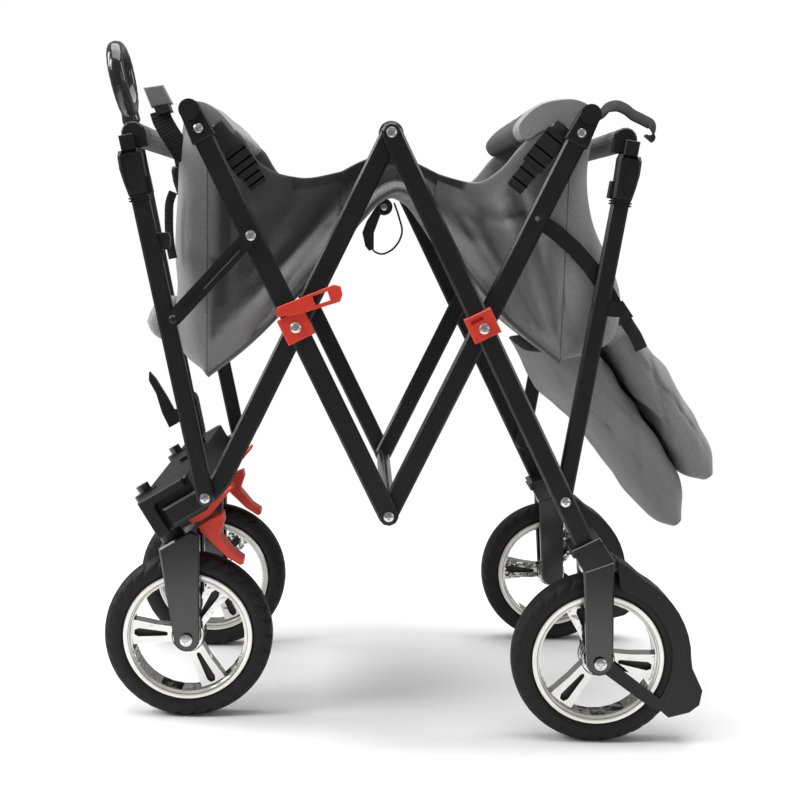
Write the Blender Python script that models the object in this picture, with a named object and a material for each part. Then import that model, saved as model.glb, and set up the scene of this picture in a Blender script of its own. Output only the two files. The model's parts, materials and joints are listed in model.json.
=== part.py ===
# Half-folded push-and-pull wagon, modelled as separate sub-parts. Metres, +Z up.
# X runs from the swivelling front wheels to the rear wheels, Y across the wagon, near side at -Y.
# The wagon stands on Z = 0. Each side is a double scissor: an inner and an outer plane of flat tubes.

import math

import bmesh
import bpy
from mathutils import Matrix, Vector

# Scissor frame: the apex pivot, the side of the central rhombus and the arms beyond it
APEX_X = -0.035
APEX_HEIGHT = 0.830
RHOMBUS_SIDE = 0.2854
UPPER_ARM = 0.3144
LOWER_ARM = 0.2618
KNEE_ARM = 0.2490
KNEE_TO_PIVOT = 0.0157
HALF_OPENING = math.radians(26.02)
FRAME_LEAN = math.radians(1.15)

# Flat tubes and the planes they lie in, as distances from the wagon's middle plane
TUBE_WIDTH = 0.0276
TUBE_THICKNESS = 0.014
TUBE_EDGE = 0.0030
INNER_PLANE = 0.2435
PLANE_GAP = 0.0015
LINK_THICKNESS = 0.0035
LINK_WIDTH = 0.021
LINK_GAP = 0.0016

# Rivets and clearances
PIN_RADIUS = 0.0040
PIN_SIDES = 10
HEAD_RADIUS = 0.0062
HEAD_HEIGHT = 0.0022
SEAT = 0.0003
RUNNING = 0.0004

# Cross tubes at the top ends, at the bottom of the rhombus and between the front posts
TOP_TUBE_RADIUS = 0.0110
CAP_RADIUS = 0.0138
CAP_LENGTH = 0.0060
SLEEVE_LENGTH = 0.042
SLEEVE_WALL = 0.0028
BOTTOM_TUBE_RADIUS = 0.0105

# Wheels and their forks
WHEEL_RADIUS = 0.120
TYRE_WIDTH = 0.042
RIM_RADIUS = 0.0905
RIM_INNER_RADIUS = 0.0805
HUB_RADIUS = 0.0215
SPOKES = 3
WHEEL_STEPS = 32
AXLE_RADIUS = 0.0050
FRONT_HUB_X = -0.269
REAR_HUB_X = 0.3064
FRONT_TRACK_HALF = 0.168
REAR_TRACK_HALF = 0.240
LEG_THICKNESS = 0.010
LEG_GAP = 0.0035
LEG_FOOT_RADIUS = 0.0185
REAR_LEG_WIDTH = 0.0450
AXLE_NUT_RADIUS = 0.0068
AXLE_NUT_HEIGHT = 0.0028

# Steering heads of the front wheels: lengths across and along the tilted stems, from the front hub
STEM_TILT = math.radians(31.5)
STEM_TRAIL = 0.0528
STEM_RADIUS = 0.0075
CROWN_THICKNESS = 0.0075
CROWN_GAP = 0.0040
CROWN_FRONT = 0.033
CROWN_REAR = 0.093
BEARING_HEIGHT = 0.0180
BOSS_RADIUS = 0.0175
BOSS_RISE = 0.0015
BEAM_HEIGHT = 0.0568
BEAM_FRONT = 0.053
BEAM_REAR = 0.128
BEAM_WALL = 0.0175
BEAM_TOP_WALL = 0.0115
KNOB_HEIGHT = 0.0125
KNOB_RADIUS = 0.0095
BEAM_KNEE_REACH = 0.0779

# Rear forks and guards
REAR_TAIL = 0.0800
REAR_HEAD_SLOPE = math.radians(20.8)
COLLAR_TOP = 0.0640
COLLAR_WALL = 0.0075
GUARD_RADIUS = 0.1290
GUARD_SKIRT_RADIUS = 0.1030
GUARD_GAP = 0.0006
GUARD_WALL = 0.0022
SPOKE_START = math.radians(178.0)

# Push-bar posts: their lower pivots are the outer ends of the scissor arms
FRONT_POST_LEAN = math.radians(12.7)
REAR_POST_LEAN = math.radians(8.3)
POST_WIDTH = 0.0236
GRIP_BASE = 0.4120
GRIP_LENGTH = 0.0600
GRIP_WIDTH = 0.0325
GRIP_DEPTH = 0.0250
GRIP_COVER = 0.030
COLLAR_HEIGHT = 0.0080
BUTTON_HEIGHT = 0.0205
BUTTON_WIDTH = 0.0190
BUTTON_DEPTH = 0.0100
BUTTON_TRAVEL = 0.0035
BUTTON_SINK = 0.0010
PUSH_BAR_RADIUS = 0.0095
FOAM_RADIUS = 0.0155
ELBOW_RADIUS = 0.0158
ELBOW_RISE = 0.0200
ELBOW_INSET = 0.0085
FRONT_LINK_ON_BRACE = 0.1343
FRONT_LINK_LENGTH = 0.1514
REAR_LINK_ON_BRACE = 0.1624
REAR_LINK_LENGTH = 0.1646
FRONT_LINK_HEIGHT = 0.2448
REAR_LINK_HEIGHT = 0.2689
LINK_BOW = 0.0120
LUG_RADIUS = 0.0100

# Pull handle, which turns on a bracket on top of the front beam
PULL_PIVOT_ACROSS = 0.125
PULL_PIVOT_RISE = 0.0257
PULL_PIN_RADIUS = 0.0060
PULL_PIN_HEAD = 0.0088
PULL_PIN_HEAD_HEIGHT = 0.0030
PULL_TUBE_RADIUS = 0.0115
PULL_TUBE_LENGTH = 0.474
PULL_LEAN = math.radians(11.9)
PULL_LOOP_WIDTH = 0.092
PULL_LOOP_HEIGHT = 0.093
PULL_LOOP_THICKNESS = 0.026
LOOP_SIDES = 8
EAR_WIDTH = 0.0300
EAR_THICKNESS = 0.0060
HINGE_HALF_WIDTH = 0.0180
LEVER_HALF_WIDTH = 0.0080
LEVER_PIN_RADIUS = 0.0030
LEVER_LEAN = math.radians(22.0)

# Fold latch on the near side
LATCH_REACH = 0.066
LATCH_WIDTH = 0.024
LATCH_THICKNESS = 0.0060
LEVER_THICKNESS = 0.0045
LATCH_HEIGHT = 0.036

# Fabric tub and rear basket
TUB_GAP = 0.0075
CLOTH = 0.006
BASKET_HALF_WIDTH = 0.160

NEAR = -1
FAR = 1
SIDES = {"near": NEAR, "far": FAR}

OUTER_PLANE = INNER_PLANE + TUBE_THICKNESS + PLANE_GAP
OUTER_FACE = OUTER_PLANE + TUBE_THICKNESS / 2
INNER_FACE = INNER_PLANE - TUBE_THICKNESS / 2
TUB_HALF_WIDTH = INNER_FACE - TUB_GAP
TREAD_RADIUS = WHEEL_RADIUS / math.cos(math.pi / WHEEL_STEPS)
EAR_INNER = HINGE_HALF_WIDTH + RUNNING

COLOURS = {
    "black_tube": ((0.020, 0.020, 0.022), 0.38, 0.6),
    "black_plastic": ((0.018, 0.018, 0.019), 0.45, 0.0),
    "tyre_rubber": ((0.016, 0.016, 0.017), 0.75, 0.0),
    "chrome": ((0.80, 0.80, 0.81), 0.12, 1.0),
    "bare_metal": ((0.55, 0.55, 0.56), 0.35, 1.0),
    "red_plastic": ((0.70, 0.045, 0.030), 0.35, 0.0),
    "foam": ((0.030, 0.030, 0.032), 0.90, 0.0),
    "grey_fabric": ((0.180, 0.180, 0.185), 0.92, 0.0),
}


# Plane geometry in X and Z

def downward(angle):
    """Unit vector pointing down, turned by the angle towards +X."""
    return Vector((math.sin(angle), 0.0, -math.cos(angle)))


def square_to(direction):
    """The direction turned a quarter turn in the XZ plane, to the left of travel seen from the near side."""
    return Vector((-direction.z, 0.0, direction.x))


def at(point, y):
    return Vector((point.x, y, point.z))


# Frame points: the pivots of one side, all in the plane Y = 0

INNER_DIRECTION = downward(-HALF_OPENING + FRAME_LEAN)
OUTER_DIRECTION = downward(HALF_OPENING + FRAME_LEAN)
APEX = Vector((APEX_X, 0.0, APEX_HEIGHT))
FRONT_CROSSING = APEX + RHOMBUS_SIDE * INNER_DIRECTION
REAR_CROSSING = APEX + RHOMBUS_SIDE * OUTER_DIRECTION
BOTTOM = FRONT_CROSSING + RHOMBUS_SIDE * OUTER_DIRECTION
FRONT_TOP = FRONT_CROSSING - UPPER_ARM * OUTER_DIRECTION
REAR_TOP = REAR_CROSSING - UPPER_ARM * INNER_DIRECTION
FRONT_KNEE = FRONT_CROSSING + KNEE_ARM * INNER_DIRECTION
REAR_PIVOT = REAR_CROSSING + LOWER_ARM * OUTER_DIRECTION
FRONT_HUB = Vector((APEX_X + FRONT_HUB_X, 0.0, WHEEL_RADIUS))
REAR_HUB = Vector((APEX_X + REAR_HUB_X, 0.0, WHEEL_RADIUS))

STEM_DOWN = downward(STEM_TILT)
STEM_ACROSS = Vector((math.cos(STEM_TILT), 0.0, math.sin(STEM_TILT)))
CROWN_TOP = WHEEL_RADIUS + CROWN_GAP + CROWN_THICKNESS
BEAM_BASE = CROWN_TOP + BEARING_HEIGHT
BEAM_TOP = BEAM_BASE + BEAM_HEIGHT
FRONT_PIVOT = FRONT_KNEE - KNEE_TO_PIVOT * STEM_ACROSS

FRONT_POST_UP = -downward(FRONT_POST_LEAN)
REAR_POST_UP = -downward(-REAR_POST_LEAN)
FRONT_LINK_TOP = FRONT_CROSSING - FRONT_LINK_ON_BRACE * OUTER_DIRECTION
REAR_LINK_TOP = REAR_CROSSING - REAR_LINK_ON_BRACE * INNER_DIRECTION
REAR_HEAD = REAR_HUB + Vector((-0.0076, 0.0, 0.1363))


def head(across_stem, along_stem):
    """A point of the steering head, measured from the front hub across and up along the stem."""
    return FRONT_HUB + across_stem * STEM_ACROSS - along_stem * STEM_DOWN


PEDAL_PIVOT = head(CROWN_REAR + 0.0075, CROWN_TOP - 0.0075)
PULL_UP = -downward(PULL_LEAN)
PULL_PIVOT = head(PULL_PIVOT_ACROSS, BEAM_TOP + PULL_PIVOT_RISE)


# Scene, materials and joint empties

def clear_scene():
    for obj in list(bpy.data.objects):
        bpy.data.objects.remove(obj)


def material(name):
    found = bpy.data.materials.get(name)
    if found:
        return found
    colour, roughness, metallic = COLOURS[name]
    made = bpy.data.materials.new(name)
    made.use_nodes = True
    shader = made.node_tree.nodes["Principled BSDF"]
    shader.inputs["Base Color"].default_value = (*colour, 1.0)
    shader.inputs["Roughness"].default_value = roughness
    shader.inputs["Metallic"].default_value = metallic
    made.diffuse_color = (*colour, 1.0)
    return made


def joint_empty(name, point, parent=None):
    """An empty on a joint's axis, which carries the pieces that turn about it."""
    empty = bpy.data.objects.new(name, None)
    empty.empty_display_size = 0.02
    bpy.context.scene.collection.objects.link(empty)
    origin = Vector((0.0, 0.0, 0.0))
    if parent:
        empty.parent = parent
        origin = parent["at"]
    empty.location = Vector(point) - Vector(origin)
    empty["at"] = tuple(point)
    return empty


def make_object(name, shape, body, colour, smooth=35.0):
    """Turns a bmesh in world coordinates into an object whose origin is its body's joint."""
    origin = Vector(body["at"])
    bmesh.ops.translate(shape, verts=shape.verts, vec=-origin)
    bmesh.ops.recalc_face_normals(shape, faces=shape.faces)
    mesh = bpy.data.meshes.new(name)
    shape.to_mesh(mesh)
    shape.free()
    mesh.shade_smooth()
    mesh.set_sharp_from_angle(angle=math.radians(smooth))
    mesh.materials.append(material(colour))
    obj = bpy.data.objects.new(name, mesh)
    bpy.context.scene.collection.objects.link(obj)
    obj.parent = body
    return obj


def helper(obj):
    """Marks an object as a cutter or a piece to be joined, which is not a sub-part itself."""
    obj.hide_render = True
    obj.display_type = "WIRE"
    return obj


def combine(target, other, operation):
    step = target.modifiers.new(operation.title() + " " + other.name, "BOOLEAN")
    step.operation = operation
    step.solver = "EXACT"
    step.object = helper(other)


def cut(target, shape, name):
    combine(target, make_object(name, shape, target.parent, "black_plastic"), "DIFFERENCE")


def join(target, shape, name):
    combine(target, make_object(name, shape, target.parent, "black_plastic"), "UNION")


# Basic shapes, as bmeshes in world coordinates

def prism(outline, y_low, y_high, edge=0.0, steps=1):
    """An outline in XZ, extruded across Y, with its rims rounded by the edge size."""
    shape = bmesh.new()
    lower = [shape.verts.new(at(p, y_low)) for p in outline]
    upper = [shape.verts.new(at(p, y_high)) for p in outline]
    shape.faces.new(lower)
    shape.faces.new(list(reversed(upper)))
    count = len(outline)
    for i in range(count):
        j = (i + 1) % count
        shape.faces.new([lower[i], upper[i], upper[j], lower[j]])
    bmesh.ops.recalc_face_normals(shape, faces=shape.faces)
    if edge:
        rims = [e for e in shape.edges if abs(e.verts[0].co.y - e.verts[1].co.y) < 1e-9]
        bmesh.ops.bevel(
            shape, geom=rims, offset=edge, segments=steps, profile=0.5, affect="EDGES", clamp_overlap=True
        )
    return shape


def arc(centre, radius, start, turn, steps):
    """Points on a circle in XZ, from the start angle through the turn, both measured from +X towards +Z."""
    points = []
    for i in range(steps + 1):
        angle = start + turn * i / steps
        points.append(centre + radius * Vector((math.cos(angle), 0.0, math.sin(angle))))
    return points


def heading(direction):
    return math.atan2(direction.z, direction.x)


def capsule(first, last, radius, steps=6):
    """The outline of a flat bar with round ends about two points."""
    angle = heading(last - first)
    return arc(last, radius, angle - math.pi / 2, math.pi, steps) + arc(
        first, radius, angle + math.pi / 2, math.pi, steps
    )


def band(points, width):
    """The outline of a flat strip of one width along a bent line of points."""
    left = []
    right = []
    for i, point in enumerate(points):
        before = (points[i] - points[i - 1]).normalized() if i else (points[1] - points[0]).normalized()
        after = (points[i + 1] - points[i]).normalized() if i + 1 < len(points) else before
        side = (square_to(before) + square_to(after)).normalized()
        reach = width / 2 / side.dot(square_to(after))
        left.append(point + reach * side)
        right.append(point - reach * side)
    return right + list(reversed(left))


def rounded_band(points, width, steps=4, square_end=False):
    """A strip along a line of points, round at its first end and, unless square, at its last."""
    outline = band(points, width)
    count = len(points)
    start = heading(points[1] - points[0])
    outline += arc(points[0], width / 2, start + math.pi / 2, math.pi, steps)[1:-1]
    if not square_end:
        end = heading(points[-1] - points[-2])
        outline[count:count] = arc(points[-1], width / 2, end - math.pi / 2, math.pi, steps)[1:-1]
    return outline


def tapered(first, first_radius, last, last_radius, steps=6):
    """The outline round two circles of unlike radius, or the larger one alone where it holds the other."""
    gap = (last - first).length
    if gap <= abs(first_radius - last_radius):
        centre, radius = (first, first_radius) if first_radius > last_radius else (last, last_radius)
        return arc(centre, radius, 0.0, 2 * math.pi, 4 * steps)[:-1]
    lean = math.asin((first_radius - last_radius) / gap)
    angle = heading(last - first)
    return arc(last, last_radius, angle - math.pi / 2 + lean, math.pi - 2 * lean, steps) + arc(
        first, first_radius, angle + math.pi / 2 - lean, math.pi + 2 * lean, steps
    )


def cylinder(start, end, radius, sides=20, end_radius=None):
    shape = bmesh.new()
    axis = Vector(end) - Vector(start)
    turn = axis.to_track_quat("Z", "Y").to_matrix().to_4x4()
    place = Matrix.Translation((Vector(start) + Vector(end)) / 2) @ turn
    bmesh.ops.create_cone(
        shape,
        cap_ends=True,
        segments=sides,
        radius1=radius,
        radius2=radius if end_radius is None else end_radius,
        depth=axis.length,
        matrix=place,
    )
    return shape


def across(point, y_low, y_high, radius, sides=20):
    return cylinder(at(point, y_low), at(point, y_high), radius, sides)


def turned(centre, profile, steps):
    """A closed profile of (radius, offset in Y), turned about Y, with a flat at the very bottom."""
    shape = bmesh.new()
    rings = []
    for i in range(steps):
        angle = 2 * math.pi * (i + 0.5) / steps
        spoke = Vector((math.cos(angle), 0.0, math.sin(angle)))
        rings.append([shape.verts.new(centre + r * spoke + Vector((0.0, y, 0.0))) for r, y in profile])
    count = len(profile)
    for i in range(steps):
        one = rings[i]
        two = rings[(i + 1) % steps]
        for k in range(count):
            n = (k + 1) % count
            shape.faces.new([one[k], one[n], two[n], two[k]])
    bmesh.ops.recalc_face_normals(shape, faces=shape.faces)
    return shape


def box(centre, along, length, width, y_low, y_high, edge=0.0, steps=1):
    """A block whose length runs along a direction in XZ."""
    half = along * (length / 2)
    side = square_to(along) * (width / 2)
    outline = [centre - half - side, centre + half - side, centre + half + side, centre - half + side]
    return prism(outline, y_low, y_high, edge, steps)


def span(side, low, high):
    """The Y range between two distances from the middle plane, on one side of the wagon."""
    ends = (side * low, side * high)
    return min(ends), max(ends)


def tube_span(side, plane):
    return span(side, plane - TUBE_THICKNESS / 2, plane + TUBE_THICKNESS / 2)


# Pivots

def add_rivet(obj, point, side, low, high, name):
    """A rivet fixed in the obj, from the low to the high distance, with a domed head beyond it."""
    join(obj, across(point, *span(side, low, high), PIN_RADIUS, PIN_SIDES), name + "_shank")
    join(obj, domed_head(point, side, high), name + "_head")


def domed_head(point, side, face):
    """A low cone with its flat top away from the middle plane, standing on a face."""
    foot = at(point, side * (face - SEAT))
    return cylinder(foot, at(point, side * (face + HEAD_HEIGHT)), HEAD_RADIUS, PIN_SIDES, HEAD_RADIUS * 0.55)


def drill(obj, point, side, low, high, name):
    """A hole that the neighbour's rivet turns in."""
    hole = across(point, *span(side, low - 0.004, high + 0.004), PIN_RADIUS + RUNNING, PIN_SIDES)
    cut(obj, hole, name)


# Scissor bars

def rounded_corner(before, corner, after, reach, steps):
    """Points of an arc that turns the corner of a line, starting the reach before it."""
    back = (before - corner).normalized()
    ahead = (after - corner).normalized()
    half = back.angle(ahead) / 2
    middle = (back + ahead).normalized()
    centre = corner + middle * (reach / math.cos(half))
    radius = reach * math.tan(half)
    start = corner + reach * back - centre
    end = corner + reach * ahead - centre
    points = []
    for i in range(steps + 1):
        share = i / steps
        points.append(centre + radius * start.lerp(end, share).normalized())
    return points


def inner_front_bar(name, side, body):
    """The chassis bar: apex to front crossing, then a bend out into the steering head."""
    low, high = tube_span(side, INNER_PLANE)
    stub_end = FRONT_PIVOT - (BEAM_KNEE_REACH - KNEE_TO_PIVOT) * STEM_ACROSS
    bend = rounded_corner(APEX, FRONT_KNEE, stub_end, 0.024, 5)
    outline = rounded_band([APEX] + bend + [stub_end], TUBE_WIDTH, 5, True)
    bar = make_object(name, prism(outline, low, high, TUBE_EDGE), body, "black_tube")
    for number, point in enumerate((APEX, FRONT_CROSSING, FRONT_PIVOT)):
        add_rivet(bar, point, side, INNER_PLANE, OUTER_FACE + SEAT, f"{name}_rivet_{number}")
    return bar


def flat_bar(name, side, plane, first, last, body):
    low, high = tube_span(side, plane)
    outline = capsule(first, last, TUBE_WIDTH / 2, 5)
    return make_object(name, prism(outline, low, high, TUBE_EDGE), body, "black_tube")


def outer_front_bar(name, side, body):
    """The front brace: from its top sleeve down past the front crossing to the rhombus bottom."""
    bar = flat_bar(name, side, OUTER_PLANE, bar_top(FRONT_TOP, OUTER_DIRECTION), BOTTOM, body)
    drill(bar, FRONT_CROSSING, side, INNER_PLANE, OUTER_FACE, name + "_crossing_hole")
    drill(bar, BOTTOM, side, INNER_PLANE, OUTER_FACE, name + "_bottom_hole")
    drill(bar, FRONT_LINK_TOP, side, INNER_PLANE, OUTER_FACE, name + "_link_hole")
    return bar


def outer_rear_bar(name, side, body):
    """The rear leg: apex, rear crossing, rear pivot and on into the rear fork's collar."""
    bar = flat_bar(name, side, OUTER_PLANE, APEX, REAR_PIVOT + REAR_TAIL * OUTER_DIRECTION, body)
    drill(bar, APEX, side, INNER_PLANE, OUTER_FACE, name + "_apex_hole")
    drill(bar, REAR_CROSSING, side, INNER_PLANE, OUTER_FACE, name + "_crossing_hole")
    drill(bar, REAR_PIVOT, side, INNER_PLANE, OUTER_FACE, name + "_post_hole")
    return bar


def inner_rear_bar(name, side, body):
    """The rear brace: from its top sleeve down past the rear crossing to the rhombus bottom."""
    bar = flat_bar(name, side, INNER_PLANE, bar_top(REAR_TOP, INNER_DIRECTION), BOTTOM, body)
    add_rivet(bar, REAR_CROSSING, side, INNER_PLANE, OUTER_FACE + SEAT, name + "_crossing_rivet")
    add_rivet(bar, BOTTOM, side, INNER_PLANE, OUTER_FACE + SEAT, name + "_bottom_rivet")
    drill(bar, REAR_LINK_TOP, side, INNER_FACE, INNER_PLANE + TUBE_THICKNESS / 2, name + "_link_hole")
    return bar


def bar_top(centre, direction):
    """The centre of a brace's round upper end, just below its cross tube."""
    return centre + (TOP_TUBE_RADIUS + 0.006 + TUBE_WIDTH / 2) * direction


def top_tube(name, centre, direction, plane, body):
    """A cross tube with a moulded sleeve and round cap over the brace's end on each side."""
    reach = plane + TUBE_THICKNESS / 2 + SLEEVE_WALL
    tube = make_object(name, across(centre, -reach, reach, TOP_TUBE_RADIUS, 16), body, "black_plastic")
    for label, side in SIDES.items():
        low, high = span(side, plane - TUBE_THICKNESS / 2 - SLEEVE_WALL, reach)
        half = square_to(direction) * (TUBE_WIDTH / 2 + SLEEVE_WALL)
        mouth = centre + SLEEVE_LENGTH * direction
        crown = arc(centre, CAP_RADIUS, heading(direction) + math.pi / 2, math.pi, 6)
        outline = [mouth - half, mouth + half] + crown
        join(tube, prism(outline, low, high, 0.0015), f"{name}_{label}_sleeve")
        cap = across(centre, *span(side, reach - SEAT, reach + CAP_LENGTH), CAP_RADIUS, 18)
        join(tube, cap, f"{name}_{label}_cap")
        top = bar_top(centre, direction)
        room = capsule(top, top + 2 * SLEEVE_LENGTH * direction, TUBE_WIDTH / 2 + SEAT, 5)
        half_room = TUBE_THICKNESS / 2 + SEAT
        cut(tube, prism(room, *span(side, plane - half_room, plane + half_room)), f"{name}_{label}_socket")
    return tube


def bottom_tube(body):
    """The bright cross tube between the rear braces at the bottom of the rhombus."""
    reach = INNER_FACE - SEAT
    tube = across(BOTTOM, -reach, reach, BOTTOM_TUBE_RADIUS, 18)
    return make_object("bottom_cross_tube", tube, body, "bare_metal")


# Front beam with its steering heads

def front_beam(body):
    """A moulded beam across the wagon, with a boss round each stem and a C-shaped rim round each bar end."""
    block = [
        head(BEAM_FRONT, BEAM_BASE),
        head(BEAM_REAR, BEAM_BASE),
        head(BEAM_REAR, BEAM_TOP),
        head(BEAM_FRONT, BEAM_TOP),
    ]
    reach = INNER_FACE - SEAT
    beam = make_object("front_beam", prism(block, -reach, reach, 0.003), body, "black_plastic")
    rim = [
        head(BEAM_FRONT, BEAM_BASE),
        head(BEAM_FRONT + BEAM_WALL, BEAM_BASE),
        head(BEAM_FRONT + BEAM_WALL, BEAM_TOP - BEAM_TOP_WALL - 0.004),
        head(BEAM_FRONT + BEAM_WALL + 0.004, BEAM_TOP - BEAM_TOP_WALL),
        head(BEAM_REAR - 0.006, BEAM_TOP - BEAM_TOP_WALL),
        head(BEAM_REAR - 0.006, BEAM_TOP),
        head(BEAM_FRONT, BEAM_TOP),
    ]
    for label, side in SIDES.items():
        low, high = span(side, reach - SEAT, INNER_PLANE + TUBE_THICKNESS / 2)
        join(beam, prism(rim, low, high, 0.0012), f"front_beam_{label}_rim")
        y = side * FRONT_TRACK_HALF
        foot = at(head(STEM_TRAIL, CROWN_TOP + SEAT), y)
        boss = cylinder(foot, at(head(STEM_TRAIL, BEAM_TOP + BOSS_RISE), y), BOSS_RADIUS, 20)
        join(beam, boss, f"front_beam_{label}_boss")
        low_end = at(head(STEM_TRAIL, CROWN_TOP - 0.01), y)
        bore = cylinder(low_end, at(head(STEM_TRAIL, BEAM_TOP + 0.01), y), STEM_RADIUS + RUNNING, 16)
        cut(beam, bore, f"front_beam_{label}_bore")
    handle_ears(beam)
    return beam


def handle_ears(beam):
    """Two ears moulded on a foot on top of the beam, bored for the pull handle's pin."""
    half = EAR_WIDTH / 2
    front = PULL_PIVOT_ACROSS - half
    rear = BEAM_REAR - 0.002
    outer = EAR_INNER + EAR_THICKNESS
    foot = [
        head(front - 0.022, BEAM_TOP - 0.004),
        head(BEAM_REAR + 0.0012, BEAM_TOP - 0.004),
        head(BEAM_REAR + 0.0012, BEAM_TOP + 0.006),
        head(front - 0.022, BEAM_TOP + 0.006),
    ]
    join(beam, prism(foot, -outer, outer, 0.0008), "front_beam_ear_foot")
    ear = [head(front - 0.010, BEAM_TOP), head(rear, BEAM_TOP)]
    crown = arc(PULL_PIVOT, half * 0.8, heading(STEM_ACROSS) - 0.4, math.pi + 0.6, 6)
    for label, side in SIDES.items():
        join(beam, prism(ear + crown, *span(side, EAR_INNER, outer), 0.001), f"front_beam_{label}_ear")
    cut(beam, across(PULL_PIVOT, -0.04, 0.04, PULL_PIN_RADIUS + RUNNING, 16), "front_beam_pin_bore")


def handle_pin(body):
    """The steel pin through the ears, with a round head at each end."""
    face = EAR_INNER + EAR_THICKNESS + SEAT
    reach = face + PULL_PIN_HEAD_HEIGHT / 2
    shank = across(PULL_PIVOT, -reach, reach, PULL_PIN_RADIUS, 16)
    pin = make_object("handle_pin", shank, body, "bare_metal")
    for label, side in SIDES.items():
        low, high = span(side, face, face + PULL_PIN_HEAD_HEIGHT)
        join(pin, across(PULL_PIVOT, low, high, PULL_PIN_HEAD, 16), f"handle_pin_{label}_head")
    return pin


def swivel_catch(name, side, body):
    """The red wedge under the beam that the fork's lock pedal drops into."""
    outline = [
        head(0.0885, CROWN_TOP + 0.0035),
        head(0.1180, CROWN_TOP + 0.0035),
        head(0.1655, BEAM_BASE + 0.0030),
        head(0.1642, BEAM_BASE + 0.0062),
        head(BEAM_REAR + 0.006, BEAM_BASE - SEAT),
        head(0.0850, BEAM_BASE - SEAT),
    ]
    low, high = span(side, FRONT_TRACK_HALF - 0.015, FRONT_TRACK_HALF + 0.015)
    return make_object(name, prism(outline, low, high, 0.0012), body, "red_plastic")


# Forks

def leg_outline(front_top, rear_top, hub):
    """A fork leg: straight across its top and round about the axle."""
    foot = arc(hub, LEG_FOOT_RADIUS, math.pi - 0.07, math.pi + 0.14, 8)
    return [front_top] + foot + [rear_top]


def add_inner_leg(fork, name, outline, side, track):
    """Joins the leg on the inner side of the wheel, and gives the distances of both legs' outer faces."""
    reach = TYRE_WIDTH / 2 + LEG_GAP
    leg = prism(outline, *span(side, track - reach - LEG_THICKNESS, track - reach), 0.0025)
    join(fork, leg, name + "_inner_leg")
    return track - reach - LEG_THICKNESS, track + reach + LEG_THICKNESS


def add_axle(fork, name, hub, side, track):
    """The axle between both legs and the nut on the outer one."""
    reach = TYRE_WIDTH / 2 + LEG_GAP
    low, high = span(side, track - reach - 0.002, track + reach + 0.002)
    join(fork, across(hub, low, high, AXLE_RADIUS, 12), name + "_axle")
    face = track + reach + LEG_THICKNESS
    foot = at(hub, side * (face - SEAT))
    nut = cylinder(foot, at(hub, side * (face + AXLE_NUT_HEIGHT)), AXLE_NUT_RADIUS, 12, 0.0052)
    join(fork, nut, name + "_axle_nut")


def outer_leg(name, outline, side, track, body):
    face = track + TYRE_WIDTH / 2 + LEG_GAP
    leg = prism(outline, *span(side, face, face + LEG_THICKNESS), 0.0025)
    return make_object(name, leg, body, "black_plastic")


def front_fork(name, side, body):
    """A two-legged fork with its stem, the knob on top of it and the wheel's axle."""
    outline = leg_outline(head(CROWN_FRONT, CROWN_TOP), head(CROWN_REAR, CROWN_TOP), FRONT_HUB)
    outline[-1:] = [head(CROWN_REAR, CROWN_TOP - 0.012), head(CROWN_REAR - 0.008, CROWN_TOP)]
    fork = outer_leg(name, outline, side, FRONT_TRACK_HALF, body)
    low, high = add_inner_leg(fork, name, outline, side, FRONT_TRACK_HALF)
    crown = [
        head(CROWN_FRONT + 0.001, CROWN_TOP - CROWN_THICKNESS),
        head(CROWN_REAR, CROWN_TOP - CROWN_THICKNESS),
        head(CROWN_REAR - 0.006, CROWN_TOP - SEAT),
        head(CROWN_FRONT + 0.001, CROWN_TOP - SEAT),
    ]
    join(fork, prism(crown, *span(side, low + 0.003, high - 0.003)), name + "_crown")
    y = side * FRONT_TRACK_HALF
    foot = at(head(STEM_TRAIL, CROWN_TOP - 0.004), y)
    join(fork, cylinder(foot, at(head(STEM_TRAIL, BEAM_TOP + 0.004), y), STEM_RADIUS, 16), name + "_stem")
    knob_low = at(head(STEM_TRAIL, BEAM_TOP + BOSS_RISE + SEAT), y)
    knob = cylinder(knob_low, at(head(STEM_TRAIL, BEAM_TOP + KNOB_HEIGHT), y), KNOB_RADIUS, 16)
    join(fork, knob, name + "_knob")
    add_axle(fork, name, FRONT_HUB, side, FRONT_TRACK_HALF)
    return fork


def lock_pedal(name, side, body):
    """The red pedal behind a front fork, pressed with the foot to stop the fork from swivelling."""
    outline = [
        head(CROWN_REAR + SEAT, CROWN_TOP - 0.0125),
        head(CROWN_REAR + SEAT, CROWN_TOP - 0.0015),
        head(0.1150, CROWN_TOP - 0.0015),
        head(0.1330, CROWN_TOP - 0.0040),
        head(0.1290, CROWN_TOP - 0.0150),
        head(0.1130, CROWN_TOP - 0.0290),
        head(0.1175, 0.0720),
        head(0.1250, 0.0560),
        head(0.1215, 0.0500),
        head(0.1165, 0.0510),
        head(0.1062, 0.0710),
    ]
    low, high = span(side, FRONT_TRACK_HALF - 0.0165, FRONT_TRACK_HALF + 0.0165)
    return make_object(name, prism(outline, low, high, 0.0012), body, "red_plastic")


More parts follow.
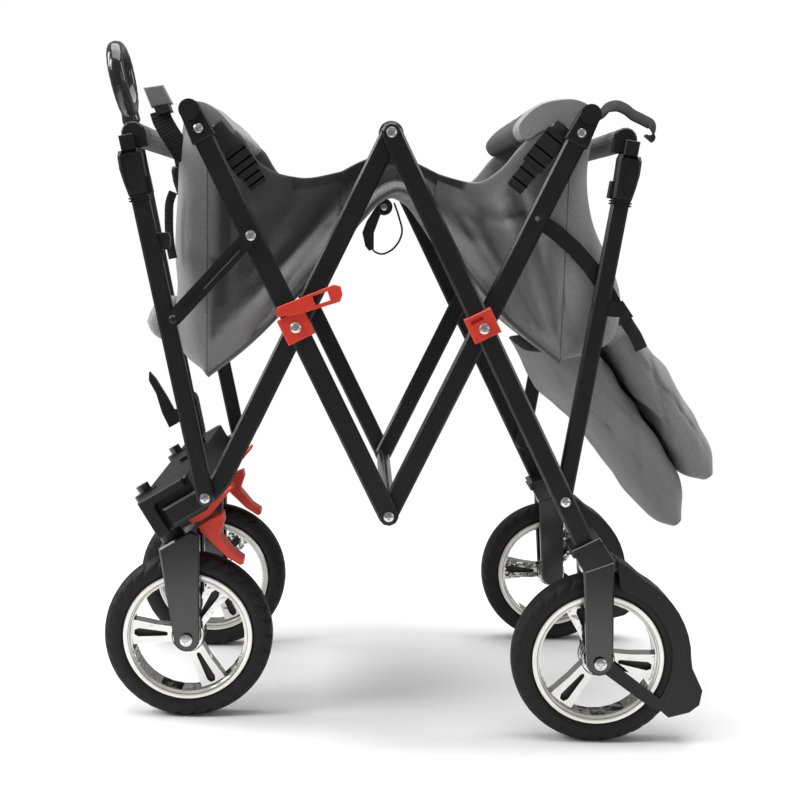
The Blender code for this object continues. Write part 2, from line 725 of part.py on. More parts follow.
def rear_fork(name, side, body):
    """The moulded rear fork: a collar round the leg tube's end, a crown over the tyre and two legs."""
    slope = Vector((math.cos(REAR_HEAD_SLOPE), 0.0, math.sin(REAR_HEAD_SLOPE)))
    front_top = REAR_HEAD - slope * (REAR_LEG_WIDTH / 2)
    rear_top = REAR_HEAD + slope * (REAR_LEG_WIDTH / 2)
    outline = leg_outline(front_top, rear_top, REAR_HUB)
    fork = outer_leg(name, outline, side, REAR_TRACK_HALF, body)
    low, high = add_inner_leg(fork, name, outline, side, REAR_TRACK_HALF)
    collar_top = REAR_PIVOT + COLLAR_TOP * OUTER_DIRECTION
    half = square_to(OUTER_DIRECTION) * (TUBE_WIDTH / 2 + COLLAR_WALL)
    inside = WHEEL_RADIUS + CROWN_GAP
    rear_angle = heading(rear_top - REAR_HUB)
    arch = arc(REAR_HUB, inside, rear_angle, heading(front_top - REAR_HUB) - rear_angle, 4)
    block = [collar_top - half, collar_top + half, rear_top] + arch + [front_top]
    join(fork, prism(block, *span(side, low + 0.001, high - 0.001), 0.001), name + "_crown")
    ridge_low = collar_top + 0.009 * OUTER_DIRECTION
    ridge_width = TUBE_WIDTH + 2 * COLLAR_WALL + 0.004
    ridge = box(ridge_low, OUTER_DIRECTION, 0.0035, ridge_width, *span(side, low, high))
    join(fork, ridge, name + "_ridge")
    room = capsule(REAR_PIVOT, REAR_PIVOT + REAR_TAIL * OUTER_DIRECTION, TUBE_WIDTH / 2 + SEAT, 5)
    half_room = TUBE_THICKNESS / 2 + SEAT
    socket = prism(room, *span(side, OUTER_PLANE - half_room, OUTER_PLANE + half_room))
    cut(fork, socket, name + "_socket")
    add_axle(fork, name, REAR_HUB, side, REAR_TRACK_HALF)
    return fork


def brake_pedal(name, side, body):
    """The rear guard: a shell over the tyre that pivots on the axle and ends in a foot pedal."""
    toe = [(0.1311, -0.0085), (0.1468, -0.0399), (0.1435, -0.0610), (0.1300, -0.0720), (0.1014, -0.0798)]
    top = [REAR_HUB + Vector((0.0185, 0.0, 0.1435)), REAR_HUB + Vector((0.0420, 0.0, 0.1290))]
    outer = arc(REAR_HUB, GUARD_RADIUS, math.radians(63.0), math.radians(-61.0), 8)
    tail = [REAR_HUB + Vector((x, 0.0, z)) for x, z in toe]
    inner = arc(REAR_HUB, GUARD_SKIRT_RADIUS, math.radians(-38.0), math.radians(114.0), 10)
    half = TYRE_WIDTH / 2 + GUARD_GAP
    wall = half + GUARD_WALL
    low, high = span(side, REAR_TRACK_HALF - wall, REAR_TRACK_HALF + wall)
    shape = prism(top + outer + tail + inner, low, high, 0.0008)
    guard = make_object(name, shape, body, "black_plastic", 40.0)
    room = turned(at(REAR_HUB, side * REAR_TRACK_HALF), [
        (0.060, -half),
        (WHEEL_RADIUS + 0.0035, -half),
        (WHEEL_RADIUS + 0.0035, half),
        (0.060, half),
    ], 28)
    cut(guard, room, name + "_tyre_room")
    direction = Vector((math.cos(math.radians(-36.0)), 0.0, math.sin(math.radians(-36.0))))
    strut = tapered(REAR_HUB, 0.0100, REAR_HUB + 0.106 * direction, 0.0085, 5)
    join(guard, prism(strut, *span(side, REAR_TRACK_HALF + half, REAR_TRACK_HALF + wall)), name + "_strut")
    hole = across(REAR_HUB, *span(side, REAR_TRACK_HALF, REAR_TRACK_HALF + 0.04), AXLE_RADIUS + RUNNING, 12)
    cut(guard, hole, name + "_pivot_hole")
    return guard


# Wheels

def tyre(name, side, hub, track, body):
    """A round-shouldered tyre, open at its bead where the rim seats."""
    half = TYRE_WIDTH / 2
    bead = RIM_RADIUS + SEAT
    wall = WHEEL_RADIUS - bead
    profile = [
        (bead, -half * 0.74),
        (bead + wall * 0.32, -half),
        (bead + wall * 0.76, -half * 0.94),
        (TREAD_RADIUS, -half * 0.46),
        (TREAD_RADIUS, half * 0.46),
        (bead + wall * 0.76, half * 0.94),
        (bead + wall * 0.32, half),
        (bead, half * 0.74),
    ]
    return make_object(name, turned(at(hub, side * track), profile, WHEEL_STEPS), body, "tyre_rubber", 50.0)


def rim(name, side, hub, track, body):
    """A chromed rim: a dished ring, three split spokes and a bored hub."""
    half = TYRE_WIDTH / 2
    ring = [
        (RIM_RADIUS, -half * 0.72),
        (RIM_RADIUS, half * 0.72),
        (RIM_RADIUS - 0.003, half * 0.84),
        (RIM_INNER_RADIUS, half * 0.74),
        (RIM_INNER_RADIUS, -half * 0.74),
        (RIM_RADIUS - 0.003, -half * 0.84),
    ]
    wheel = make_object(name, turned(at(hub, side * track), ring, WHEEL_STEPS), body, "chrome", 40.0)
    for i in range(SPOKES):
        angle = SPOKE_START + 2 * math.pi * i / SPOKES
        out = Vector((math.cos(angle), 0.0, math.sin(angle)))
        over = square_to(out)
        root = hub + HUB_RADIUS * 0.6 * out
        waist = hub + 0.046 * out
        end = hub + (RIM_INNER_RADIUS + 0.003) * out
        outline = [
            root + 0.0105 * over,
            waist + 0.0130 * over,
            end + 0.0190 * over,
            end - 0.0190 * over,
            waist - 0.0130 * over,
            root - 0.0105 * over,
        ]
        join(wheel, prism(outline, *span(side, track - 0.010, track + 0.012)), f"{name}_spoke_{i}")
        slot = tapered(hub + 0.032 * out, 0.0030, hub + 0.0715 * out, 0.0062, 3)
        cut(wheel, prism(slot, *span(side, track - 0.03, track + 0.03)), f"{name}_slot_{i}")
    low, high = span(side, track - half - LEG_GAP + SEAT, track + half - 0.001)
    join(wheel, across(hub, low, high, HUB_RADIUS, 18), name + "_hub")
    bore = across(hub, *span(side, track - 0.03, track + 0.03), AXLE_RADIUS + RUNNING, 12)
    cut(wheel, bore, name + "_bore")
    return wheel


# Posts and push bars

def post(name, side, foot, up, plane, pinned, body):
    """An upright of a push bar: a flat tube, pinned or bored at its foot."""
    low, high = tube_span(side, plane)
    top = foot + (GRIP_BASE + GRIP_COVER) * up
    outline = capsule(foot, top, POST_WIDTH / 2, 5)
    bar = make_object(name, prism(outline, low, high, TUBE_EDGE), body, "black_tube")
    if pinned:
        add_rivet(bar, foot, side, plane, OUTER_FACE + SEAT, name + "_rivet")
    else:
        drill(bar, foot, side, INNER_PLANE, OUTER_FACE, name + "_hole")
    return bar


def post_grip(name, side, foot, up, outward, plane, body):
    """The moulded release grip over the top of a post, with a ribbed collar and a tab on its inner side."""
    low, high = span(side, plane - GRIP_DEPTH / 2, plane + GRIP_DEPTH / 2)
    base = foot + GRIP_BASE * up
    top = base + GRIP_LENGTH * up
    wide = outward * (GRIP_WIDTH / 2)
    outline = [
        base + 0.78 * wide,
        base + GRIP_LENGTH * 0.30 * up + 0.96 * wide,
        base + GRIP_LENGTH * 0.62 * up + 1.08 * wide,
        top - 0.006 * up + 1.02 * wide,
        top + 0.86 * wide,
        top - 0.80 * wide,
        top - 0.006 * up - 0.92 * wide,
        base - 0.78 * wide,
    ]
    grip = make_object(name, prism(outline, low, high, 0.0035), body, "black_plastic")
    neck_at = base - (COLLAR_HEIGHT / 2 - 0.001) * up
    neck = box(neck_at, up, COLLAR_HEIGHT, GRIP_WIDTH * 0.70, low + 0.002, high - 0.002)
    join(grip, neck, name + "_neck")
    for number, drop in enumerate((0.0025, 0.0062)):
        rib = box(base - drop * up, up, 0.0018, GRIP_WIDTH * 0.84, low + 0.001, high - 0.001)
        join(grip, rib, f"{name}_rib_{number}")
    tab_at = base + 0.0115 * up - 0.90 * wide
    tab = box(tab_at, up, 0.023, 0.0085, *span(side, plane - 0.006, plane + 0.006), 0.001)
    join(grip, tab, name + "_tab")
    dimple = capsule(base + 0.016 * up + 0.25 * wide, base + 0.044 * up + 0.25 * wide, 0.0085, 5)
    face = plane + GRIP_DEPTH / 2
    cut(grip, prism(dimple, *span(side, face - 0.0012, face + 0.0012)), name + "_dimple")
    notch_depth = BUTTON_SINK + BUTTON_TRAVEL + SEAT
    notch_width = BUTTON_WIDTH + 2 * RUNNING
    notch = box(top, up, 2 * notch_depth, notch_width, *span(side, plane + 0.0006, face + 0.001))
    cut(grip, notch, name + "_button_notch")
    room = capsule(foot, foot + (GRIP_BASE + GRIP_COVER) * up, POST_WIDTH / 2 + SEAT, 5)
    half_room = TUBE_THICKNESS / 2 + SEAT
    cut(grip, prism(room, *span(side, plane - half_room, plane + half_room)), name + "_socket")
    return grip


def grip_top(foot, up):
    return foot + (GRIP_BASE + GRIP_LENGTH) * up


def release_button(name, side, foot, up, plane, body):
    """The square button in the notch on top of a grip, pressed down to let the push bar turn."""
    centre = grip_top(foot, up) + (BUTTON_HEIGHT / 2 - BUTTON_SINK) * up
    low, high = span(side, plane + RUNNING + 0.001, plane + RUNNING + 0.001 + BUTTON_DEPTH)
    shape = box(centre, up, BUTTON_HEIGHT, BUTTON_WIDTH, low, high, 0.0010)
    return make_object(name, shape, body, "black_plastic")


def push_bar(name, foot, up, inward, plane, body):
    """The cross bar between two posts, with an elbow that turns down onto each grip."""
    centre = bar_centre(foot, up, inward)
    reach = plane - 0.002
    bar = make_object(name, across(centre, -reach, reach, PUSH_BAR_RADIUS, 16), body, "black_plastic")
    floor = grip_top(foot, up) + SEAT * up
    for label, side in SIDES.items():
        low, high = span(side, plane - GRIP_DEPTH / 2, plane)
        knuckle = elbow_outline(centre, floor, up)
        join(bar, prism(knuckle, low, high, 0.0020), f"{name}_{label}_elbow")
    return bar


def bar_centre(foot, up, inward):
    return grip_top(foot, up) + ELBOW_RISE * up + ELBOW_INSET * inward


def elbow_outline(centre, floor, up):
    """Side view of an elbow: round about the bar and straight down to the grip."""
    crown = arc(centre, ELBOW_RADIUS, heading(up) - math.pi / 2, math.pi, 8)
    drop = (floor - centre).dot(up)
    return crown + [crown[-1] + drop * up, crown[0] + drop * up]


def push_foam(name, foot, up, inward, plane, body):
    """The foam cover: a thick sleeve on the push bar."""
    centre = bar_centre(foot, up, inward)
    reach = plane - GRIP_DEPTH / 2 - SEAT
    inner = PUSH_BAR_RADIUS + SEAT
    profile = [
        (inner, -reach),
        (FOAM_RADIUS - 0.002, -reach),
        (FOAM_RADIUS, -reach + 0.002),
        (FOAM_RADIUS, reach - 0.002),
        (FOAM_RADIUS - 0.002, reach),
        (inner, reach),
    ]
    return make_object(name, turned(centre, profile, 18), body, "foam")


# Links between braces and posts

def link_foot(top, reach, pivot, height, turn):
    """The point at the reach from the link's top and at the height from the post's pivot."""
    gap = (pivot - top).length
    along = (gap * gap + height * height - reach * reach) / (2 * gap)
    off = math.sqrt(height * height - along * along)
    line = (top - pivot).normalized()
    return pivot + along * line - turn * off * square_to(line)


def front_link_foot():
    return link_foot(FRONT_LINK_TOP, FRONT_LINK_LENGTH, FRONT_PIVOT, FRONT_LINK_HEIGHT, -1)


def rear_link_foot():
    return link_foot(REAR_LINK_TOP, REAR_LINK_LENGTH, REAR_PIVOT, REAR_LINK_HEIGHT, 1)


def front_link(name, side, body):
    """A straight pressed link outside the brace and the post, with a groove along it."""
    foot = front_link_foot()
    along = (foot - FRONT_LINK_TOP).normalized()
    inner = OUTER_FACE + LINK_GAP
    face = inner + LINK_THICKNESS
    outline = capsule(FRONT_LINK_TOP, foot, LINK_WIDTH / 2, 5)
    link = make_object(name, prism(outline, *span(side, inner, face)), body, "black_tube")
    groove = capsule(FRONT_LINK_TOP + 0.022 * along, foot - 0.022 * along, 0.0030, 3)
    cut(link, prism(groove, *span(side, face - 0.0014, face + 0.0014)), name + "_groove")
    pin = across(FRONT_LINK_TOP, *span(side, OUTER_PLANE, face), PIN_RADIUS, PIN_SIDES)
    join(link, pin, name + "_pin")
    for number, point in enumerate((FRONT_LINK_TOP, foot)):
        join(link, domed_head(point, side, face), f"{name}_head_{number}")
    return link


def rear_link(name, side, body):
    """A bowed pressed link inside the brace and the post."""
    foot = rear_link_foot()
    face = INNER_FACE - LINK_GAP
    inner = face - LINK_THICKNESS
    over = square_to((foot - REAR_LINK_TOP).normalized())
    spine = []
    for i in range(6):
        share = i / 5
        spine.append(REAR_LINK_TOP.lerp(foot, share) + LINK_BOW * 4 * share * (1 - share) * over)
    outline = rounded_band(spine, LINK_WIDTH)
    link = make_object(name, prism(outline, *span(side, inner, face)), body, "black_tube")
    pin = across(REAR_LINK_TOP, *span(side, inner + 0.001, INNER_PLANE), PIN_RADIUS, PIN_SIDES)
    join(link, pin, name + "_pin")
    return link


def link_lug(post_object, side, foot, plane, post_foot, post_up, name):
    """The moulded lug on a post that the link's lower end lies against."""
    nearest = post_foot + (foot - post_foot).dot(post_up) * post_up
    outline = tapered(nearest, POST_WIDTH / 2, foot, LUG_RADIUS, 5)
    join(post_object, prism(outline, *span(side, plane - 0.006, plane + 0.006)), name)


# Pull handle

def handle_clamp(body):
    """The moulded block that turns on the bracket's pin and holds the pull tube."""
    outline = tapered(PULL_PIVOT, 0.0150, PULL_PIVOT + 0.052 * PULL_UP, 0.0145, 6)
    half = HINGE_HALF_WIDTH
    clamp = make_object("handle_clamp", prism(outline, -half, half, 0.002), body, "black_plastic")
    cut(clamp, across(PULL_PIVOT, -0.03, 0.03, PULL_PIN_RADIUS + RUNNING, 16), "handle_clamp_bore")
    front = PULL_PIVOT + 0.030 * PULL_UP + 0.0165 * square_to(PULL_UP)
    for label, side in SIDES.items():
        cheek = tapered(front - 0.012 * square_to(PULL_UP), 0.0100, lever_pivot(), 0.0075, 4)
        low, high = span(side, LEVER_HALF_WIDTH + RUNNING, LEVER_HALF_WIDTH + RUNNING + 0.005)
        join(clamp, prism(cheek, low, high), f"handle_clamp_{label}_cheek")
    foot = PULL_PIVOT + 0.026 * PULL_UP
    socket = cylinder(foot, foot + 0.080 * PULL_UP, PULL_TUBE_RADIUS + SEAT, 18)
    cut(clamp, socket, "handle_clamp_socket")
    pin_reach = LEVER_HALF_WIDTH + 0.004
    join(clamp, across(lever_pivot(), -pin_reach, pin_reach, LEVER_PIN_RADIUS, 12), "handle_clamp_pin")
    return clamp


def lever_pivot():
    return PULL_PIVOT + 0.034 * PULL_UP + 0.0300 * square_to(PULL_UP)


def clamp_lever(body):
    """The quick-release lever in front of the handle clamp."""
    pivot = lever_pivot()
    along = -downward(LEVER_LEAN)
    outline = [
        pivot + 0.0085 * square_to(along) - 0.016 * along,
        pivot + 0.0105 * square_to(along) + 0.010 * along,
        pivot + 0.0080 * square_to(along) + 0.040 * along,
        pivot + 0.0110 * square_to(along) + 0.062 * along,
        pivot + 0.0060 * square_to(along) + 0.074 * along,
        pivot + 0.0010 * square_to(along) + 0.060 * along,
        pivot - 0.0045 * square_to(along) + 0.030 * along,
        pivot - 0.0075 * square_to(along) + 0.006 * along,
        pivot - 0.0060 * square_to(along) - 0.014 * along,
    ]
    half = LEVER_HALF_WIDTH
    lever = make_object("clamp_lever", prism(outline, -half, half, 0.001), body, "black_plastic")
    cut(lever, across(pivot, -0.03, 0.03, LEVER_PIN_RADIUS + RUNNING, 12), "clamp_lever_bore")
    return lever


def pull_tube(body):
    foot = PULL_PIVOT + (0.026 + SEAT) * PULL_UP
    tube = cylinder(foot, PULL_PIVOT + PULL_TUBE_LENGTH * PULL_UP, PULL_TUBE_RADIUS, 18)
    return make_object("pull_tube", tube, body, "black_tube")


def pull_grip(body):
    """The D-shaped grip: a thick rounded loop across the wagon, on a stalk on top of the pull tube."""
    base = PULL_PIVOT + (PULL_TUBE_LENGTH + SEAT) * PULL_UP
    limb = PULL_LOOP_THICKNESS / 2
    wide = PULL_LOOP_WIDTH / 2
    tall = PULL_LOOP_HEIGHT / 2
    centre = tall + limb + 0.006
    steps = 22
    ring = []
    for i in range(steps):
        angle = 2 * math.pi * (i + 0.5) / steps
        y = wide * math.cos(angle) * (1 + 0.16 * math.sin(angle))
        up = centre + tall * math.sin(angle)
        ring.append(Vector((0.0, y, 0.0)) + base + up * PULL_UP)
    shape = closed_tube(ring, square_to(PULL_UP), limb * 0.86, limb)
    grip = make_object("pull_grip", shape, body, "black_plastic", 60.0)
    stalk = cylinder(base, base + (limb + 0.012) * PULL_UP, 0.0145, 20, 0.0120)
    join(grip, stalk, "pull_grip_stalk")
    return grip


def closed_tube(ring, side_way, thin, thick):
    """A rounded tube swept along a closed ring of points, thick along the side way."""
    shape = bmesh.new()
    sections = []
    count = len(ring)
    for i, point in enumerate(ring):
        tangent = (ring[(i + 1) % count] - ring[i - 1]).normalized()
        outward = tangent.cross(side_way).normalized()
        section = []
        for k in range(LOOP_SIDES):
            angle = 2 * math.pi * k / LOOP_SIDES
            offset = thin * math.cos(angle) * outward + thick * math.sin(angle) * side_way
            section.append(shape.verts.new(point + offset))
        sections.append(section)
    for i in range(count):
        one = sections[i]
        two = sections[(i + 1) % count]
        for k in range(LOOP_SIDES):
            n = (k + 1) % LOOP_SIDES
            shape.faces.new([one[k], one[n], two[n], two[k]])
    bmesh.ops.recalc_face_normals(shape, faces=shape.faces)
    return shape


# Latch of the folded frame, on the near side only

def clasp(name, crossing, body, depth):
    """A red clamp round an outer bar at its crossing, open towards the inner bar."""
    inner_edge = -(OUTER_PLANE - TUBE_THICKNESS / 2 + 0.0002)
    width = TUBE_WIDTH + 0.011
    shape = box(crossing, OUTER_DIRECTION, LATCH_HEIGHT, width, -(OUTER_FACE + depth), inner_edge, 0.0012)
    piece = make_object(name, shape, body, "red_plastic")
    reach = 0.06 * OUTER_DIRECTION
    room = capsule(crossing - reach, crossing + reach, TUBE_WIDTH / 2 + SEAT, 4)
    cut(piece, prism(room, -(OUTER_FACE + SEAT), inner_edge + 0.01), name + "_channel")
    return piece


def latch_bracket(body):
    """The red clamp on the front brace, which carries the latch lever."""
    bracket = clasp("latch_bracket", FRONT_CROSSING, body, LATCH_THICKNESS)
    hole = across(FRONT_CROSSING, -(OUTER_FACE + 0.02), -OUTER_FACE + 0.004, HEAD_RADIUS + 0.0008, 16)
    cut(bracket, hole, "latch_bracket_bolt_hole")
    return bracket


def latch_pivot():
    return FRONT_CROSSING - 0.025 * OUTER_DIRECTION + 0.010 * square_to(OUTER_DIRECTION)


def latch_lever(body):
    """The long red lever with a square window, turning on the latch bracket."""
    pivot = latch_pivot()
    angle = math.radians(20.0)
    along = Vector((math.cos(angle), 0.0, math.sin(angle)))
    over = square_to(along)
    half = LATCH_WIDTH / 2
    tip = pivot + LATCH_REACH * along
    outline = [
        pivot - 0.026 * along - 0.45 * half * over,
        pivot + 0.006 * along - 0.90 * half * over,
        tip - 0.006 * along - half * over,
        tip - 0.35 * half * over,
        tip + 0.001 * along + 0.60 * half * over,
        tip - 0.007 * along + half * over,
        pivot - 0.022 * along + 0.60 * half * over,
    ]
    low = OUTER_FACE + LATCH_THICKNESS + SEAT
    shape = prism(outline, *span(NEAR, low, low + LEVER_THICKNESS), 0.0009)
    lever = make_object("latch_lever", shape, body, "red_plastic")
    window = box(pivot + 0.038 * along, along, 0.021, 0.0125, -(low + 0.02), -(low - 0.02))
    cut(lever, window, "latch_lever_window")
    return lever


def latch_catch(body):
    """The red catch on the rear leg, with a slot for the lever's hook."""
    catch = clasp("latch_catch", REAR_CROSSING - 0.004 * OUTER_DIRECTION, body, LATCH_THICKNESS)
    hole = across(REAR_CROSSING, -(OUTER_FACE + 0.02), -OUTER_FACE + 0.004, HEAD_RADIUS + 0.0008, 16)
    cut(catch, hole, "latch_catch_bolt_hole")
    slot_centre = REAR_CROSSING - 0.014 * OUTER_DIRECTION - 0.004 * square_to(OUTER_DIRECTION)
    slot = box(slot_centre, OUTER_DIRECTION, 0.0050, 0.018, -(OUTER_FACE + 0.02), -(OUTER_FACE + 0.0015))
    cut(catch, slot, "latch_catch_slot")
    return catch


# Fabric

def from_apex(x, z):
    return Vector((APEX_X + x, 0.0, z))


def tub(body):
    """The fabric tub, folded with the frame: end walls that bulge out, cuffs round the cross tubes, a raised floor."""
    front_cuff = [(-0.2798, 0.8460), (-0.2798, 0.8560), (-0.2710, 0.8655), (-0.2550, 0.8665), (-0.2350, 0.8580),
                  (-0.2170, 0.8420), (-0.2050, 0.8240)]
    side_rim = [(-0.1718, 0.7842), (-0.1206, 0.7684), (-0.0671, 0.7780), (-0.0072, 0.8023), (0.0812, 0.7744),
                (0.1221, 0.7690), (0.1483, 0.7871)]
    rear_cuff = [(0.1650, 0.8380), (0.1800, 0.8640), (0.1990, 0.8770), (0.2250, 0.8850), (0.2480, 0.8850),
                 (0.2700, 0.8760), (0.2795, 0.8640), (0.2780, 0.8520)]
    rear_wall = [(0.2700, 0.7900), (0.2735, 0.7505), (0.2966, 0.6868), (0.3130, 0.6550), (0.3245, 0.6000),
                 (0.3200, 0.5620), (0.2937, 0.5430)]
    floor = [(0.2395, 0.5302), (0.1688, 0.5858), (0.0978, 0.6651), (0.0360, 0.7460), (0.0120, 0.7565),
             (-0.0100, 0.7460), (-0.0778, 0.6669), (-0.1173, 0.6187), (-0.1969, 0.5352), (-0.2412, 0.4999)]
    front_wall = [(-0.2750, 0.5230), (-0.2870, 0.5440), (-0.2885, 0.6200), (-0.2895, 0.7000), (-0.2855, 0.7900)]
    outline = front_cuff + side_rim + rear_cuff + rear_wall + floor + front_wall
    shape = prism([from_apex(x, z) for x, z in outline], -TUB_HALF_WIDTH, TUB_HALF_WIDTH)
    fabric = make_object("tub_fabric", shape, body, "grey_fabric")
    front_inside = [(-0.2100, 0.8120), (-0.2300, 0.8240), (-0.2550, 0.8290), (-0.2710, 0.8280), (-0.2795, 0.7900),
                    (-0.2835, 0.7000), (-0.2825, 0.6200), (-0.2810, 0.5475), (-0.2710, 0.5305), (-0.2415, 0.5085)]
    rear_inside = [(0.0120, 0.7661), (0.0360, 0.7560), (0.1040, 0.6690), (0.1740, 0.5925), (0.2400, 0.5395),
                   (0.2910, 0.5505), (0.3140, 0.5670), (0.3185, 0.6000), (0.3070, 0.6520), (0.2906, 0.6840),
                   (0.2675, 0.7485), (0.2640, 0.7900), (0.2670, 0.8280), (0.2600, 0.8380), (0.2310, 0.8380),
                   (0.1990, 0.8330), (0.1775, 0.8200)]
    floor_inside = [(-0.1173, 0.6310), (-0.0778, 0.6790), (-0.0100, 0.7560)]
    above = [(0.1600, 0.9500), (-0.2000, 0.9500)]
    hollow = front_inside + floor_inside + rear_inside + above
    inner = TUB_HALF_WIDTH - CLOTH
    cut(fabric, prism([from_apex(x, z) for x, z in hollow], -inner, inner), "tub_hollow")
    for name, centre in (("front", FRONT_TOP), ("rear", REAR_TOP)):
        sleeve = across(centre, -TUB_HALF_WIDTH - 0.01, TUB_HALF_WIDTH + 0.01, TOP_TUBE_RADIUS + SEAT, 16)
        cut(fabric, sleeve, f"tub_{name}_sleeve")
    return fabric


def basket(body):
    """The storage bag below the tub's rear end, hanging slack in two lobes."""
    outline = [
        (0.2395, 0.5302 - SEAT),
        (0.2040, 0.5340),
        (0.2449, 0.4689),
        (0.4124, 0.2839),
        (0.4449, 0.2994),
        (0.4462, 0.3288),
        (0.4450, 0.3507),
        (0.4871, 0.3736),
        (0.4840, 0.4020),
        (0.4381, 0.4738),
        (0.3560, 0.5760),
        (0.3300, 0.5860),
        (0.3200 + SEAT, 0.5620 - SEAT),
        (0.2937 + SEAT / 2, 0.5430 - SEAT),
    ]
    shape = prism([from_apex(x, z) for x, z in outline], -BASKET_HALF_WIDTH, BASKET_HALF_WIDTH)
    return make_object("rear_basket", shape, body, "grey_fabric")


# Assembly

def build_chassis():
    chassis = joint_empty("chassis_joint", APEX)
    for label, side in SIDES.items():
        inner_front_bar(f"front_bar_{label}", side, chassis)
        swivel_catch(f"swivel_catch_{label}", side, chassis)
    front_beam(chassis)
    tub(chassis)
    basket(chassis)
    return chassis


def build_front_brace(chassis):
    brace = joint_empty("front_brace_joint", FRONT_CROSSING, chassis)
    for label, side in SIDES.items():
        outer_front_bar(f"front_brace_{label}", side, brace)
    top_tube("front_top_tube", FRONT_TOP, OUTER_DIRECTION, OUTER_PLANE, brace)
    latch_bracket(brace)
    latch_lever(joint_empty("latch_joint", latch_pivot(), brace))
    link = joint_empty("front_link_joint", FRONT_LINK_TOP, brace)
    for label, side in SIDES.items():
        front_link(f"front_link_{label}", side, link)


def build_rear(chassis):
    leg = joint_empty("rear_leg_joint", APEX, chassis)
    for label, side in SIDES.items():
        outer_rear_bar(f"rear_leg_{label}", side, leg)
        rear_fork(f"rear_fork_{label}", side, leg)
        centre = at(REAR_HUB, side * REAR_TRACK_HALF)
        wheel = joint_empty(f"rear_wheel_{label}_joint", centre, leg)
        tyre(f"rear_tyre_{label}", side, REAR_HUB, REAR_TRACK_HALF, wheel)
        rim(f"rear_rim_{label}", side, REAR_HUB, REAR_TRACK_HALF, wheel)
        brake_pedal(f"brake_pedal_{label}", side, joint_empty(f"brake_{label}_joint", centre, leg))
    latch_catch(leg)
    brace = joint_empty("rear_brace_joint", REAR_CROSSING, leg)
    for label, side in SIDES.items():
        inner_rear_bar(f"rear_brace_{label}", side, brace)
    top_tube("rear_top_tube", REAR_TOP, INNER_DIRECTION, INNER_PLANE, brace)
    bottom_tube(brace)
    link = joint_empty("rear_link_joint", REAR_LINK_TOP, brace)
    for label, side in SIDES.items():
        rear_link(f"rear_link_{label}", side, link)
    outward = -square_to(REAR_POST_UP)
    build_posts("rear", leg, REAR_PIVOT, REAR_POST_UP, outward, INNER_PLANE, rear_link_foot())


def build_posts(end, carrier, foot, up, outward, plane, lug):
    """A push-bar frame: two posts with their grips and buttons, the bar between them and its foam."""
    posts = joint_empty(f"{end}_post_joint", foot, carrier)
    for label, side in SIDES.items():
        bar = post(f"{end}_post_{label}", side, foot, up, plane, plane == INNER_PLANE, posts)
        link_lug(bar, side, lug, plane, foot, up, f"{end}_post_{label}_lug")
        post_grip(f"{end}_grip_{label}", side, foot, up, outward, plane, posts)
        button = joint_empty(f"{end}_button_{label}_joint", at(grip_top(foot, up), side * plane), posts)
        release_button(f"{end}_button_{label}", side, foot, up, plane, button)
    push_bar(f"{end}_push_bar", foot, up, -outward, plane, posts)
    push_foam(f"{end}_push_foam", foot, up, -outward, plane, posts)


def build_handle(chassis):
    pin = joint_empty("handle_pin_joint", PULL_PIVOT, chassis)
    handle_pin(pin)
    handle = joint_empty("pull_handle_joint", PULL_PIVOT, pin)
    handle_clamp(handle)
    pull_tube(handle)
    pull_grip(handle)
    clamp_lever(joint_empty("clamp_lever_joint", lever_pivot(), handle))


def build_front_wheels(chassis):
    for label, side in SIDES.items():
        y = side * FRONT_TRACK_HALF
        swivel = joint_empty(f"swivel_{label}_joint", at(head(STEM_TRAIL, CROWN_TOP), y), chassis)
        front_fork(f"front_fork_{label}", side, swivel)
        wheel = joint_empty(f"front_wheel_{label}_joint", at(FRONT_HUB, y), swivel)
        tyre(f"front_tyre_{label}", side, FRONT_HUB, FRONT_TRACK_HALF, wheel)
        rim(f"front_rim_{label}", side, FRONT_HUB, FRONT_TRACK_HALF, wheel)
        pedal = joint_empty(f"lock_pedal_{label}_joint", at(PEDAL_PIVOT, y), swivel)
        lock_pedal(f"lock_pedal_{label}", side, pedal)


def main():
    clear_scene()
    chassis = build_chassis()
    build_front_brace(chassis)
    build_rear(chassis)
    outward = square_to(FRONT_POST_UP)
    build_posts("front", chassis, FRONT_PIVOT, FRONT_POST_UP, outward, OUTER_PLANE, front_link_foot())
    build_handle(chassis)
    build_front_wheels(chassis)


main()
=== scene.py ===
import json
import math

import bpy
import numpy as np
from bpy.props import FloatProperty, FloatVectorProperty, PointerProperty
from mathutils import Matrix, Vector
from mathutils.bvhtree import BVHTree


